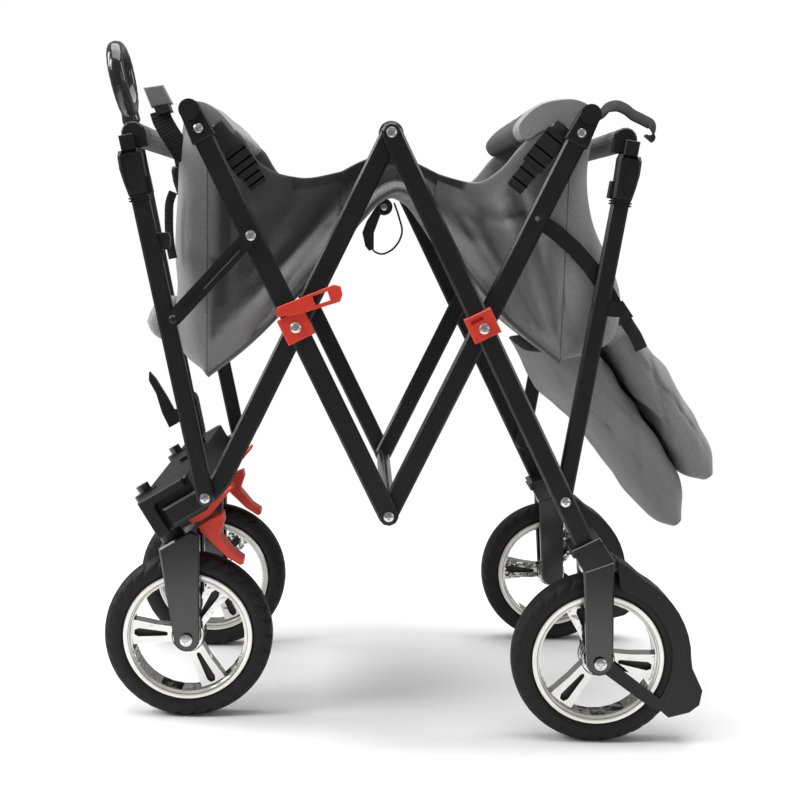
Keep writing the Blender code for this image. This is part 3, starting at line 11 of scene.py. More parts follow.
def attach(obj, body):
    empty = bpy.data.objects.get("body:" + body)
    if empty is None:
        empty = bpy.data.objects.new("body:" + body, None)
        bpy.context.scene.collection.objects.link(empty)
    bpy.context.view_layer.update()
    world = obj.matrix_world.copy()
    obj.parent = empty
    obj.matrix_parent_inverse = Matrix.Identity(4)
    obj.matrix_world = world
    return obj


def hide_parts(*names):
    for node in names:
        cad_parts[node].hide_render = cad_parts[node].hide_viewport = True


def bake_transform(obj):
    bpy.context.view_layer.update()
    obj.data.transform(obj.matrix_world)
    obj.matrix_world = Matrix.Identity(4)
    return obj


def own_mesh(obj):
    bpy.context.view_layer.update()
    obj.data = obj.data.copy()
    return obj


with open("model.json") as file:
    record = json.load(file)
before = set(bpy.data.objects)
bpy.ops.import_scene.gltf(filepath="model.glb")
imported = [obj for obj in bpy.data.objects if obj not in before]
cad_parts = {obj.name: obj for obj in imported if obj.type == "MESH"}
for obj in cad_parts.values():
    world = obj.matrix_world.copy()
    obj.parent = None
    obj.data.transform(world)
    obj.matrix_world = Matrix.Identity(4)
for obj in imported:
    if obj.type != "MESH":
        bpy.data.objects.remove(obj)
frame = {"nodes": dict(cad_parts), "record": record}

bl_info = {
    "name": "Folding wagon looks",
    "version": (1, 0, 0),
    "blender": (4, 5, 0),
    "location": "View3D > Sidebar > Wagon",
    "description": "Fabric, straps, bolts, finishes and studio for the folding wagon",
    "category": "Object",
}

SLOT_OF = {part["node"]: part["material_slot"] for part in frame["record"]["subparts"]}
BODY_OF = {node: body for body, nodes in frame["record"]["behaviour"]["bodies"].items() for node in nodes}

# Places in the frame, in metres: X to the rear wheels, -Y to the near side, Z up
APEX = (-0.035, 0.830)
FRONT_BEND, FRONT_SEAM, REAR_SEAM, REAR_BEND = -0.200, -0.100, 0.030, 0.130
HALF_WIDTH = 0.229
TUB_CORNER = 0.050
HUB_Z = 0.120
NEAR_REAR_HUB = (0.2714, -0.240, HUB_Z)
RIM_TURN = 66.0
FIRST_SPOKE = 178.0
NEAR, FAR = -1, 1
SIDES = ((NEAR, "near"), (FAR, "far"))


def pts(*numbers):
    """Points of two coordinates in metres, from tenths of a millimetre by turns."""
    return [(a / 10000, b / 10000) for a, b in zip(numbers[::2], numbers[1::2])]


# Edges of the tub seen from the side, (x, z)
FRONT_FLOOR = pts(-2762, 4999, -2319, 5352, -1523, 6187, -1128, 6669, -1000, 6830)
FRONT_RIM = pts(-2790, 8350, -2435, 8292, -2068, 7842, -1556, 7684, -1021, 7780, -1000, 7785)
FRONT_WALL = pts(
    -2762, 4999, -3100, 5230, -3220, 5440, -3240, 5870, -3215, 6180, -3250, 6600, -3245, 7000, -3220, 7450,
    -3205, 7900, -3170, 8250, -3140, 8460)
REAR_FLOOR = pts(2045, 5302, 1338, 5858, 628, 6651, 300, 7115)
REAR_RIM = pts(2060, 8450, 1750, 8500, 1400, 8200, 1133, 7871, 871, 7700, 462, 7744, 300, 7790)
REAR_WALL = pts(
    2045, 5302, 2587, 5430, 2850, 5620, 2905, 5900, 2890, 6250, 2780, 6550, 2616, 6868, 2480, 7150, 2385,
    7505, 2350, 7900, 2385, 8250, 2430, 8560)
MIDDLE_FLOOR = pts(-1000, 6830, -736, 7148, -450, 7460, -230, 7565, 10, 7460, 300, 7115)
MIDDLE_RIM = pts(-1000, 7785, -689, 7949, -422, 8023, -100, 7960, 300, 7790)

# Outlines of the padded rolls over the two top tubes
FRONT_CUFF = pts(
    -3135, 8420, -3148, 8560, -3060, 8655, -2900, 8665, -2700, 8580, -2520, 8420, -2400, 8240, -2480, 8140,
    -2650, 8300, -2860, 8370, -3000, 8355)
REAR_CUFF = pts(
    2430, 8520, 2445, 8640, 2350, 8760, 2130, 8850, 1900, 8840, 1640, 8770, 1450, 8640, 1300, 8380, 1400,
    8250, 1640, 8380, 1960, 8430, 2250, 8460)

# Folds of the side walls: how far each draws the cloth in, its half width and its (x, z) line
FRONT_FOLDS = (
    (0.015, 0.011, pts(-2620, 6000, -2540, 6800, -2560, 7700)),
    (0.012, 0.012, pts(-2380, 5750, -1750, 6550, -1200, 7280)),
    (-0.010, 0.012, pts(-2620, 5350, -1720, 6340, -1050, 7150)),
    (0.009, 0.010, pts(-2250, 6400, -1900, 7000, -1650, 7550)),
    (0.008, 0.005, pts(-2150, 5600, -1600, 6400, -1120, 7050)),
)
REAR_FOLDS = (
    (0.017, 0.011, pts(1960, 5750, 1840, 6300, 1600, 7000, 1400, 7550)),
    (0.014, 0.009, pts(1760, 5780, 1280, 6520, 860, 7220)),
    (-0.009, 0.009, pts(1870, 5800, 1580, 6550, 1180, 7350)),
    (0.010, 0.006, pts(1550, 5850, 1000, 6600, 600, 7220)),
    (0.009, 0.008, pts(750, 7600, 1050, 7050, 1200, 6600)),
    (0.010, 0.006, pts(920, 7350, 1180, 7220, 1500, 7300)),
    (0.008, 0.008, pts(1800, 7000, 1720, 7400, 1800, 7900)),
)


def curve(points, count):
    """count points evenly spaced along a smooth line through the given ones."""
    p = np.array(points, float)
    step = np.linalg.norm(np.diff(p, axis=0), axis=1)
    at = np.concatenate([[0], np.cumsum(step)])
    slope = np.gradient(p, at, axis=0)
    out = []
    for s in np.linspace(0, at[-1], count):
        i = min(int(np.searchsorted(at, s, side="right")) - 1, len(at) - 2)
        h = at[i + 1] - at[i]
        t = (s - at[i]) / h
        a = 2 * t ** 3 - 3 * t ** 2 + 1
        b = t ** 3 - 2 * t ** 2 + t
        out.append(a * p[i] + b * h * slope[i] + (1 - a) * p[i + 1] + (t ** 3 - t ** 2) * h * slope[i + 1])
    return np.array(out)


def unit(vector):
    return vector / np.linalg.norm(vector)


def ripple(u, v, seed, waves=5):
    """A smooth wandering value about 0, at most about 1."""
    chance = np.random.default_rng(seed)
    total = np.zeros_like(u * v, float)
    for k in range(waves):
        f, g, phase = chance.uniform(-2.4, 2.4), chance.uniform(0.6, 3.2), chance.uniform(0, 6.28)
        total = total + np.sin(2 * math.pi * (f * u + g * v) + phase) / (1 + k * 0.6)
    return total / 2.6


def crease(x, z, line, width):
    """1 on a line of (x, z) points, falling to 0 over about width beside it."""
    best = np.full(np.shape(x), 1e9)
    for (x0, z0), (x1, z1) in zip(line, line[1:]):
        along = np.array([x1 - x0, z1 - z0])
        t = np.clip(((x - x0) * along[0] + (z - z0) * along[1]) / (along @ along), 0, 1)
        best = np.minimum(best, np.hypot(x - x0 - t * along[0], z - z0 - t * along[1]))
    return np.exp(-(best / width) ** 2)


def link(obj):
    bpy.context.scene.collection.objects.link(obj)
    return obj


def add_mesh(name, verts, faces, material, angle=None):
    """An object with smooth faces, sharp at edges that turn by more than the angle in degrees."""
    mesh = bpy.data.meshes.new(name)
    mesh.from_pydata([tuple(v) for v in verts], [], faces)
    mesh.update()
    for p in mesh.polygons:
        p.use_smooth = True
    if angle is not None:
        mesh.set_sharp_from_angle(angle=math.radians(angle))
    obj = link(bpy.data.objects.new(name, mesh))
    mesh.materials.append(material)
    return obj


def fasten(obj, body):
    """Moves a piece with a body of the wagon."""
    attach(obj, body)
    return obj


def grid_faces(n, m, offset=0, flip=False):
    """Faces of a grid of n rows of m points."""
    faces = []
    for i in range(n - 1):
        for j in range(m - 1):
            a, b = offset + i * m + j, offset + (i + 1) * m + j
            faces.append((a, a + 1, b + 1, b) if flip else (a, b, b + 1, a + 1))
    return faces


def ring_faces(n, k, closed=False):
    """Faces of n rings of k points: a capped tube, or a loop back to the first ring if closed."""
    faces = []
    for i in range(n if closed else n - 1):
        a, b = i * k, (i + 1) % n * k
        faces += [(a + j, a + (j + 1) % k, b + (j + 1) % k, b + j) for j in range(k)]
    if not closed:
        faces += [tuple(range(k))[::-1], tuple((n - 1) * k + j for j in range(k))]
    return faces


def shell(name, points, thickness, material):
    """A sheet of cloth of that thickness, closed round its rim, from a grid of points."""
    p = np.array(points, float)
    n, m = p.shape[:2]
    normal = np.cross(np.gradient(p, axis=0), np.gradient(p, axis=1))
    normal /= np.maximum(np.linalg.norm(normal, axis=2, keepdims=True), 1e-9)
    verts = np.concatenate([p + normal * thickness / 2, p - normal * thickness / 2]).reshape(-1, 3)
    half = n * m
    faces = grid_faces(n, m) + grid_faces(n, m, half, True)
    rim = [i * m for i in range(n)] + [(n - 1) * m + j for j in range(1, m)]
    rim += [i * m + m - 1 for i in range(n - 2, -1, -1)] + [j for j in range(m - 2, 0, -1)]
    for a, b in zip(rim, rim[1:] + rim[:1]):
        faces.append((a, a + half, b + half, b))
    return add_mesh(name, verts, faces, material)


def sweep(name, path, section, side, material):
    """A section of (across, up) points along a path; across lies along side as far as the path lets it."""
    p = np.array(path, float)
    sec = np.array(section, float)
    tangent = np.gradient(p, axis=0)
    tangent /= np.linalg.norm(tangent, axis=1, keepdims=True)
    across = np.array(side, float) - tangent * (tangent @ np.array(side, float))[:, None]
    across /= np.linalg.norm(across, axis=1, keepdims=True)
    up = np.cross(tangent, across)
    verts = p[:, None] + across[:, None] * sec[None, :, :1] + up[:, None] * sec[None, :, 1:]
    return add_mesh(name, verts.reshape(-1, 3), ring_faces(len(p), len(sec)), material, 50)


def round_section(radius, sides=10):
    turns = [2 * math.pi * k / sides for k in range(sides)]
    return [(radius * math.cos(a), radius * math.sin(a)) for a in turns]


def circle(x, z, radius, count):
    turns = np.linspace(0, 2 * math.pi, count, endpoint=False)
    return [(x + radius * math.cos(a), z + radius * math.sin(a)) for a in turns]


def flat_section(width, thickness):
    """A flat rectangle with cut corners."""
    w, t, e = width / 2, thickness / 2, min(thickness, width) * 0.3
    half = [(-w + e, -t), (w - e, -t), (w, -t + e), (w, t - e)]
    return half + [(-x, -y) for x, y in half]


# The tub

def wall_side(floor, rim, rows, side, inset):
    """Columns of points from a floor line up to a rim line; inset(x, z, u, v) draws them in."""
    v = np.linspace(0, 1, rows)
    strip = []
    for k in range(len(floor)):
        x = floor[k, 0] * (1 - v) + rim[k, 0] * v
        z = floor[k, 1] * (1 - v) + rim[k, 1] * v
        strip.append(np.stack([x, side * (HALF_WIDTH - inset(x, z, k / (len(floor) - 1), v)), z], axis=1))
    return strip


def wall_ribbon(floor, rim, wall, away, folds, seed):
    """Grid of one end of the tub's wall: near side, round the end, far side. away is -1 for the front end."""
    rows, side_count, turn_count, across_count = 34, 26, 9, 25
    side_floor, side_rim = curve(floor, side_count)[::-1], curve(rim, side_count)[::-1]
    end = curve(wall, rows)
    sides, turns = [], []
    for side in (NEAR, FAR):
        strip = wall_side(side_floor, side_rim, rows, side,
                          lambda x, z, u, v: tuck(x, z, u, v, folds, seed + side))
        seam = strip[-1]
        turn = []
        for k in range(1, turn_count):
            a = k / turn_count * math.pi / 2
            share = math.sin(a) ** 0.8
            row = seam.copy()
            row[:, 0] = seam[:, 0] + (end[:, 0] - seam[:, 0]) * share
            row[:, 2] = seam[:, 2] + (end[:, 1] - seam[:, 2]) * share
            row[:, 1] = side * (np.abs(seam[:, 1]) - TUB_CORNER * (1 - math.cos(a)))
            turn.append(row)
        sides.append(strip)
        turns.append(turn)
    middle = []
    y_end = HALF_WIDTH - TUB_CORNER
    v = np.linspace(0, 1, rows)
    for y in np.linspace(-y_end, y_end, across_count):
        fade = np.sin(math.pi * v) * math.cos(y / y_end * math.pi / 2) ** 0.5
        bulge = 0.004 * ripple(np.full(rows, y * 6), v * 1.2, seed + 9) * fade
        middle.append(np.stack([end[:, 0] + away * bulge, np.full(rows, y), end[:, 1]], axis=1))
    return sides[0] + turns[0] + middle + turns[1][::-1] + sides[1][::-1]


def drawn_in(x, v):
    """How far the side walls lean in: most at the ridge, nothing at the end seams and along the floor."""
    half = np.where(x < APEX[0], 0.241, 0.240)
    share = np.clip(np.abs(x - APEX[0]) / half, 0, 1)
    fall = (1 - share) ** 1.15 * np.clip(share / 0.04, 0.85, 1)
    rise = np.clip((v - 0.06) / 0.34, 0, 1)
    rise = rise * rise * (3 - 2 * rise)
    return 0.052 * fall * rise * (1 - 0.62 * np.clip((v - 0.45) / 0.55, 0, 1) ** 1.5)


def tuck(x, z, u, v, folds, seed):
    """How far a side wall is drawn in: u runs from the ridge to the end seam, v up from the floor."""
    deep = drawn_in(x, v)
    for depth, width, line in folds:
        deep = deep + depth * crease(x, z, line, width)
    fade = np.sin(math.pi * np.clip(v, 0, 1)) * np.sin(math.pi * np.clip(u * 0.9 + 0.05, 0, 1))
    return np.maximum(deep + 0.0040 * ripple(u * 2.0, v * 2.0, seed + 3) * fade, 0.0)


def middle_side(side, seed):
    """Grid of the short side wall between the two ends."""
    rows, count = 18, 22

    def inset(x, z, u, v):
        wander = ripple(np.full(rows, u * 3), v * 1.4, seed)
        return np.maximum(drawn_in(x, v) + 0.004 * np.sin(math.pi * v) * math.sin(math.pi * u) * wander, 0)

    return wall_side(curve(MIDDLE_FLOOR, count), curve(MIDDLE_RIM, count), rows, side, inset)


def floor_grid(line, count, across, seed):
    """Grid of a floor panel under a side line, with slow unevenness that fades to its edges."""
    lower = 0.0012
    grid = []
    for k, (x, z) in enumerate(curve(line, count)):
        row = []
        for y in np.linspace(-HALF_WIDTH + lower, HALF_WIDTH - lower, across):
            share = y / HALF_WIDTH
            lift = 0.0022 * ripple(np.array(k / count * 2.0), np.array(share), seed) * (1 - share ** 4)
            row.append((x, y, z - lower + float(lift)))
        grid.append(row)
    return grid


def cuff(name, points, seed, material):
    """The padded roll of cloth over a top tube, from side to side."""
    around = 40
    outline = curve(points + points[:1], around)[:-1]
    centre = outline.mean(axis=0)
    stations = np.linspace(-HALF_WIDTH, HALF_WIDTH, 36)
    verts = []
    for y in stations:
        share = abs(y) / HALF_WIDTH
        shrink = 1 - 0.10 * max(share - 0.90, 0) / 0.10
        for k, point in enumerate(outline):
            wander = float(ripple(np.array(y * 7.0), np.array(k / around * 2), seed))
            wave = 0.0016 * wander * (1 - share ** 6)
            out = point - centre
            place = centre + out * shrink + out / np.linalg.norm(out) * wave
            verts.append((place[0], y, place[1]))
    return add_mesh(name, verts, ring_faces(len(stations), len(outline)), material, 60)


def wall_binding_and_painted_shade(obj, n, m, shade):
    """Stores how dark the cloth is at each vertex: the dark binding beside the ridge, which is its own
    colour, and painted shade on the front end's side panels.
    """
    marks = obj.data.color_attributes.new("binding_and_painted_shade", "FLOAT_COLOR", "POINT")
    (x0, z0), (x1, z1) = (-0.2775, 0.530), (-0.0900, 0.744)
    binding_rows, binding_tone = 4, 0.16
    for k, vertex in enumerate(obj.data.vertices):
        x, y, z = vertex.co
        binding_and_painted_shade = 1.0
        over = z - z0 - (x - x0) / (x1 - x0) * (z1 - z0) - 0.004 * math.sin((x - x0) * 48)
        # Painted shade: the front end's side panels darken above the band along the floor, fading out towards
        # the ridge.
        if x > x0 + 0.057 * (z - 0.50) and abs(y) > 0.15:
            dark = min(max(over / 0.016, 0), 1) * min(max((-0.050 - x) / 0.035, 0), 1)
            binding_and_painted_shade = 1 - (1 - shade) * dark * dark * (3 - 2 * dark)
        # The binding along the rim is a dark tape, its own colour.
        if k % (n * m) % m >= m - binding_rows and -0.165 < x < 0.070:
            binding_and_painted_shade = min(binding_and_painted_shade, binding_tone)
        marks.data[k].color = (binding_and_painted_shade, binding_and_painted_shade, binding_and_painted_shade, 1)


def build_tub(thickness, shade):
    """The tub's walls, floor panels and cuffs, with what they are made of."""
    walls = []
    cloth, wall_cloth = material("grey_cloth"), material("wall_cloth")
    for name, floor, rim, wall, away, folds, seed, tube in (
        ("tub_front_wall", FRONT_FLOOR, FRONT_RIM, FRONT_WALL, -1, FRONT_FOLDS, 11, "front_top_tube"),
        ("tub_rear_wall", REAR_FLOOR, REAR_RIM, REAR_WALL, 1, REAR_FOLDS, 31, "rear_top_tube"),
    ):
        grid = wall_ribbon(floor, rim, wall, away, folds, seed)[::-away]
        obj = shell(name, grid, thickness, wall_cloth)
        wall_binding_and_painted_shade(obj, len(grid), len(grid[0]), shade)
        walls.append(obj)
    for side, label in SIDES:
        grid = middle_side(side, 50 + side)[::-side]
        obj = shell(f"tub_middle_{label}", grid, thickness, wall_cloth)
        wall_binding_and_painted_shade(obj, len(grid), len(grid[0]), shade)
        walls.append(obj)
    floors = []
    for name, line, seed in (("tub_floor_front", FRONT_FLOOR, 61), ("tub_floor_middle", MIDDLE_FLOOR, 62),
                             ("tub_floor_rear", REAR_FLOOR[::-1], 63)):
        obj = shell(name, floor_grid(line, 24, 31, seed), 0.0060, cloth)
        floors.append(obj)
    front_cuff = cuff("tub_front_cuff", FRONT_CUFF, 71, cloth)
    rear_cuff = cuff("tub_rear_cuff", REAR_CUFF, 72, cloth)
    rear_cuff.data.materials.append(material("tape_cloth"))
    for face in rear_cuff.data.polygons:
        if face.center.x < 0.1475 and face.center.y > -0.205:
            face.material_index = 1
    return walls, floors, front_cuff, rear_cuff


def bend(obj, a, b, start, end):
    """Bakes a piece's transform into its mesh; the two bodies and the start and end along X are not used."""
    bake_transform(obj)


# Where the cloth bends: the bodies on either side and the two ends of the bend
BENDS = {
    "front": ("chassis", "front_brace", FRONT_SEAM, FRONT_BEND),
    "middle": ("chassis", "rear_leg", FRONT_SEAM, REAR_SEAM),
    "rear": ("rear_leg", "rear_brace", REAR_SEAM, REAR_BEND),
}


def bind_tub(walls, floors, front_cuff, rear_cuff):
    """Carries the cuffs with the frame, bakes the other pieces' transforms and puts them in place of the CAD
    solid.
    """
    front, rear, near, far = walls
    for part, *pieces in (("front", front, floors[0]), ("rear", rear, floors[2]),
                          ("middle", near, far, floors[1])):
        for obj in pieces:
            bend(obj, *BENDS[part])
    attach(front_cuff, "front_brace")
    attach(rear_cuff, "rear_brace")
    for obj in (*walls, *floors, front_cuff, rear_cuff):
        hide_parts("tub_fabric")


# The rear basket

def lobe(name, outline_low, outline_high, half_width, seed, material):
    """A slack bag between two (x, z) lines that run from its mouth to its foot, closed by rounded sides."""
    steps, around = 54, 72
    low, high = curve(outline_low, steps), curve(outline_high, steps)
    verts = []
    for i in range(steps):
        s = i / (steps - 1)
        mid, half = (low[i] + high[i]) / 2, (high[i] - low[i]) / 2
        for j in range(around):
            a = 2 * math.pi * j / around
            cy, cz = math.cos(a), math.sin(a)
            thick = math.copysign(abs(cz) ** 0.75, cz)
            fold = (1 - abs(math.sin(math.pi * (1.7 * s + 0.55 * thick + seed * 0.37)))) ** 4
            fold += 0.8 * (1 - abs(math.sin(math.pi * (0.7 * s - 1.1 * thick + seed * 0.61)))) ** 5
            dent = 0.0065 * fold * math.sin(math.pi * min(max(s * 1.06, 0.02), 1)) * abs(cy) ** 0.5
            y = half_width * (1 - 0.05 * s) * math.copysign(abs(cy) ** 0.32, cy)
            y -= math.copysign(dent, cy)
            wander = float(ripple(np.array(y * 5.0), np.array(s * 1.4), seed))
            wave = 1 + 0.22 * wander * math.sin(math.pi * min(s * 1.15, 1))
            place = mid + half * thick * wave
            verts.append((place[0], y, place[1]))
    return add_mesh(name, verts, ring_faces(steps, around), material, 70)


def build_basket(cloth):
    """The two slack lobes of the basket behind the wagon."""
    for name, low, high, half_width, seed in (
        ("basket_inner_lobe",
         pts(1680, 5345, 2099, 4689, 2776, 3985, 3400, 3270, 3774, 2850, 3900, 2830),
         pts(2700, 5400, 3080, 4980, 3540, 4380, 3880, 3830, 4110, 3400, 4080, 3010),
         0.158, 81),
        ("basket_outer_lobe",
         pts(2860, 5450, 3120, 5010, 3560, 4440, 3900, 3900, 4100, 3560, 4300, 3530),
         pts(3150, 5760, 3450, 5480, 4031, 4738, 4330, 4280, 4505, 3954, 4500, 3700),
         0.160, 82),
    ):
        obj = lobe(name, low, high, half_width, seed, cloth)
        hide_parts("rear_basket")
        fasten(obj, "rear_brace")


# Straps, webbing and small pieces of the fabric

def webbing(name, line, y, across, width, thickness, material, body, count=24, ribs=0):
    """A strap along an (x, z) line, its width along across. Ribs give it that many raised bars."""
    path = curve([(x, y, z) for x, z in line], count)
    made = [sweep(name, path, flat_section(width, thickness), across, material)]
    if ribs:
        bars = []
        for k in np.linspace(1, count - 2, ribs):
            i = int(k)
            t = unit(path[i + 1] - path[i - 1])
            a = np.array(across, float)
            a = unit(a - t * (t @ a))
            bars.append((path[i], t, a, np.cross(t, a)))
        made.append(bars_mesh(name + "_ribs", bars, width * 0.94, 0.0022, thickness + 0.0016, material))
    for obj in made:
        fasten(obj, body)
    return made


def bars_mesh(name, bars, width, length, height, material):
    """Small rounded bars at (place, along, across, up), as one mesh."""
    verts, faces = [], []
    section = flat_section(length, height)
    for place, along, across, up in bars:
        base = len(verts)
        verts += [place + across * (width * end) + along * a + up * b
                  for end in (-0.5, 0.5) for a, b in section]
        faces += [tuple(base + k for k in face) for face in ring_faces(2, len(section))]
    return add_mesh(name, verts, faces, material, 40)


def plate(name, outline, y_low, y_high, material, bevel=0.0008):
    """A flat piece with an (x, z) outline and softened edges."""
    p = np.array(outline, float)
    away = p - p.mean(axis=0)
    size = np.linalg.norm(away, axis=1, keepdims=True)
    verts = []
    for y, inset in ((y_low, bevel), (y_low + bevel, 0.0), (y_high - bevel, 0.0), (y_high, bevel)):
        verts += [(x, y, z) for x, z in p - away / np.maximum(size, 1e-6) * inset]
    return add_mesh(name, verts, ring_faces(4, len(p)), material, 35)


def bar_outline(start, end, width):
    """Corners of a straight bar between two (x, z) points."""
    a, b = np.array(start, float), np.array(end, float)
    t = unit(b - a)
    n = np.array([-t[1], t[0]]) * width / 2
    return [a - n, b - n, b + n, a + n]


def buckle(name, start, end, width, y_low, y_high, material):
    """A side-release buckle: a body, a narrower tongue and five cross bars."""
    a, b = np.array(start, float), np.array(end, float)
    t = unit(b - a)
    length = np.linalg.norm(b - a)
    body = bar_outline(a, a + t * length * 0.62, width)
    tongue = bar_outline(a + t * length * 0.60, b, width * 0.78)
    made = [plate(name, body, y_low, y_high, material),
            plate(name + "_tongue", tongue, y_low, y_high - 0.0012, material)]
    for k, share in enumerate((0.10, 0.34, 0.52, 0.72, 0.90)):
        place = a + t * length * share
        bar = bar_outline(place - t * 0.0012, place + t * 0.0012, width * (1.02 if share < 0.6 else 0.84))
        made.append(plate(f"{name}_bar_{k}", bar, y_low, y_high + 0.0007, material, 0.0005))
    return made


def join_all(name, objects):
    """Several pieces of one material as one mesh."""
    verts, faces = [], []
    for obj in objects:
        base = len(verts)
        verts += [tuple(v.co) for v in obj.data.vertices]
        faces += [tuple(base + k for k in p.vertices) for p in obj.data.polygons]
    material = objects[0].data.materials[0]
    for obj in objects:
        mesh = obj.data
        bpy.data.objects.remove(obj)
        bpy.data.meshes.remove(mesh)
    return add_mesh(name, verts, faces, material, 40)


def stitch_row(name, line, side, drop, material, pitch=0.0052):
    """Stitches beside a seam, drop metres above its (x, z) line."""
    length = float(np.linalg.norm(np.diff(np.array(line, float), axis=0), axis=1).sum())
    path = curve(line, int(length / pitch) * 2 + 1)
    bars = []
    for i in range(0, len(path) - 2, 2):
        t = unit(path[i + 1] - path[i])
        n = np.array([-t[1], t[0]])
        n = n if n[1] > 0 else -n
        x, z = (path[i] + path[i + 1]) / 2 + n * drop
        place = np.array([x, side * (HALF_WIDTH + 0.0018), z])
        upward, along = np.array([n[0], 0, n[1]]), np.array([t[0], 0, t[1]])
        bars.append((place, upward, along, np.array([0, side, 0], float)))
    return bars_mesh(name, bars, pitch * 0.62, 0.0009, 0.0008, material)


def build_trim():
    """Piping and stitching of the tub."""
    black, thread = material("dark_piping"), material("seam_thread")
    for side, label in SIDES:
        for part, line in (("front", FRONT_FLOOR), ("middle", MIDDLE_FLOOR), ("rear", REAR_FLOOR)):
            path = [(x, side * (HALF_WIDTH + 0.0006), z) for x, z in curve(line, 40)]
            pipe = sweep(f"piping_{part}_{label}", path, round_section(0.0021, 8), (0, 1, 0), black)
            for obj in (pipe, stitch_row(f"stitching_{part}_{label}", line, side, 0.0075, thread)):
                bend(obj, *BENDS[part])
        for part, floor, rim in (("front", FRONT_FLOOR, FRONT_RIM), ("rear", REAR_FLOOR, REAR_RIM)):
            (x0, z0), (x1, z1) = floor[0], rim[0]
            y = side * (HALF_WIDTH + 0.0008)
            path = [(x0 + (x1 - x0) * t, y, z0 + (z1 - z0) * t) for t in np.linspace(0.01, 0.97, 30)]
            seam = sweep(f"corner_seam_{part}_{label}", path, round_section(0.0010, 8), (0, 1, 0), black)
            fasten(seam, f"{part}_brace")


# End of the tub, strap's line, direction of its width, width, buckle's two ends and width
CLOSING_STRAPS = (
    ("front", pts(-2700, 8330, -2661, 8277, -2460, 8048, -2271, 7804, -2108, 7598),
     (0.77, 0, 0.63), 0.025, (-0.2440, 0.8023), (-0.2090, 0.7572), 0.029 * 1.15),
    ("rear", pts(1960, 8480, 1904, 8404, 1713, 8161, 1522, 7904, 1318, 7620),
     (-0.80, 0, 0.60), 0.023, (0.1880, 0.8376), (0.1335, 0.7645), 0.027 * 1.15),
)
CARRY_STRAP = pts(-3110, 7900, -3165, 7990, -3255, 8130, -3360, 8290, -3430, 8420, -3460, 8520)
SLIDE_PLATE = pts(-3671, 8818, -3418, 8865, -3283, 8620, -3563, 8558)
SLIDE_FRAME = pts(-3536, 8572, -3323, 8618, -3282, 8514, -3482, 8455)
REAR_LOOP = pts(
    2430, 8640, 2562, 8708, 2642, 8778, 2766, 8809, 2878, 8772, 2993, 8694, 3136, 8630, 3265, 8553, 3272,
    8417, 3210, 8370)
FLOOR_LOOP = pts(
    -598, 7020, -598, 6958, -564, 6809, -515, 6690, -408, 6648, -273, 6697, -156, 6821, -100, 6987, -150,
    7200, -230, 7420)
LOOP_TAB = pts(
    -700, 6960, -650, 6760, -590, 6690, -520, 6720, -525, 6960, -430, 7240, -300, 7420, -360, 7480, -520,
    7330, -640, 7130)
LOOP_BOSS = (-0.0382, 0.7354)
POST_CLIP = pts(-3486, 6690, -3486, 6900, -3270, 6915, -3249, 6850, -3249, 6720, -3270, 6680)
HOOK_TAPE = pts(-3245, 7450, -3285, 7340, -3300, 7100, -3290, 6850, -3265, 6670, -3240, 6560)
FOOT_ROLL = pts(
    -3676, 5675, -3609, 5869, -3446, 5983, -3300, 5987, -3210, 5700, -3278, 5369, -3470, 5405, -3607, 5512,
    -3676, 5675)
BASKET_STRAP = pts(2800, 6150, 2876, 6062, 2966, 5965, 3089, 5785, 3196, 5632, 3290, 5450)


def build_straps():
    """The closing straps with their buckles, the carry strap, the loops and the clips."""
    web, plastic = material("black_webbing"), material("clip_plastic")

    def clip(name, outline, y_low, y_high, bevel, body, finish=plastic):
        fasten(plate(name, outline, y_low, y_high, finish, bevel), body)

    for side, label in SIDES:
        for end, line, across, width, _, _, _ in CLOSING_STRAPS:
            webbing(f"{end}_side_strap_{label}", line, side * 0.2313, across, width, 0.0016, web,
                    f"{end}_brace")
        low, high = sorted((side * 0.2318, side * 0.2360))
        for end, _, _, _, start, stop, width in CLOSING_STRAPS:
            name = f"{end}_side_buckle_{label}"
            made = buckle(name + "_part", start, stop, width, low, high, plastic)
            fasten(join_all(name, made), f"{end}_brace")
    webbing("front_carry_strap", CARRY_STRAP, -0.205, (0.85, 0, 0.52), 0.027, 0.0022, web,
            "front_brace", 40, 17)
    clip("carry_slide_plate", SLIDE_PLATE, -0.213, -0.197, 0.002, "front_brace", material("grey_clip"))
    clip("carry_slide_frame", SLIDE_FRAME, -0.2145, -0.1955, 0.0015, "front_brace")
    webbing("rear_loop_strap", REAR_LOOP, -0.170, (0.25, 0.72, 0.65), 0.024, 0.0026, web, "rear_brace", 60)
    for obj in webbing("floor_pull_loop", FLOOR_LOOP, 0.0, (0, 1, 0), 0.012, 0.0026, web, "chassis", 60):
        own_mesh(obj)
    clip("floor_loop_tab", LOOP_TAB, -0.011, 0.011, 0.001, "chassis")
    clip("floor_loop_boss", circle(*LOOP_BOSS, 0.0125, 28), -0.016, 0.016, 0.001, "chassis")
    bolt_cap("floor_loop_bolt", *LOOP_BOSS, -0.016, NEAR, 0.0052, 0.0030, "chassis")
    clip("post_clip_near", POST_CLIP, -0.254, -0.236, 0.001, "front_posts")
    for side, label in SIDES:
        webbing(f"front_hook_tape_{label}", HOOK_TAPE, side * 0.224, (0.95, 0, 0.10), 0.0115, 0.0030, web,
                "front_brace", 30, 12)
        low, high = sorted((side * 0.2335, side * 0.2364))
        clip(f"apex_cover_{label}", circle(*APEX, 0.0168, 36), low, high, 0.0008, "chassis")


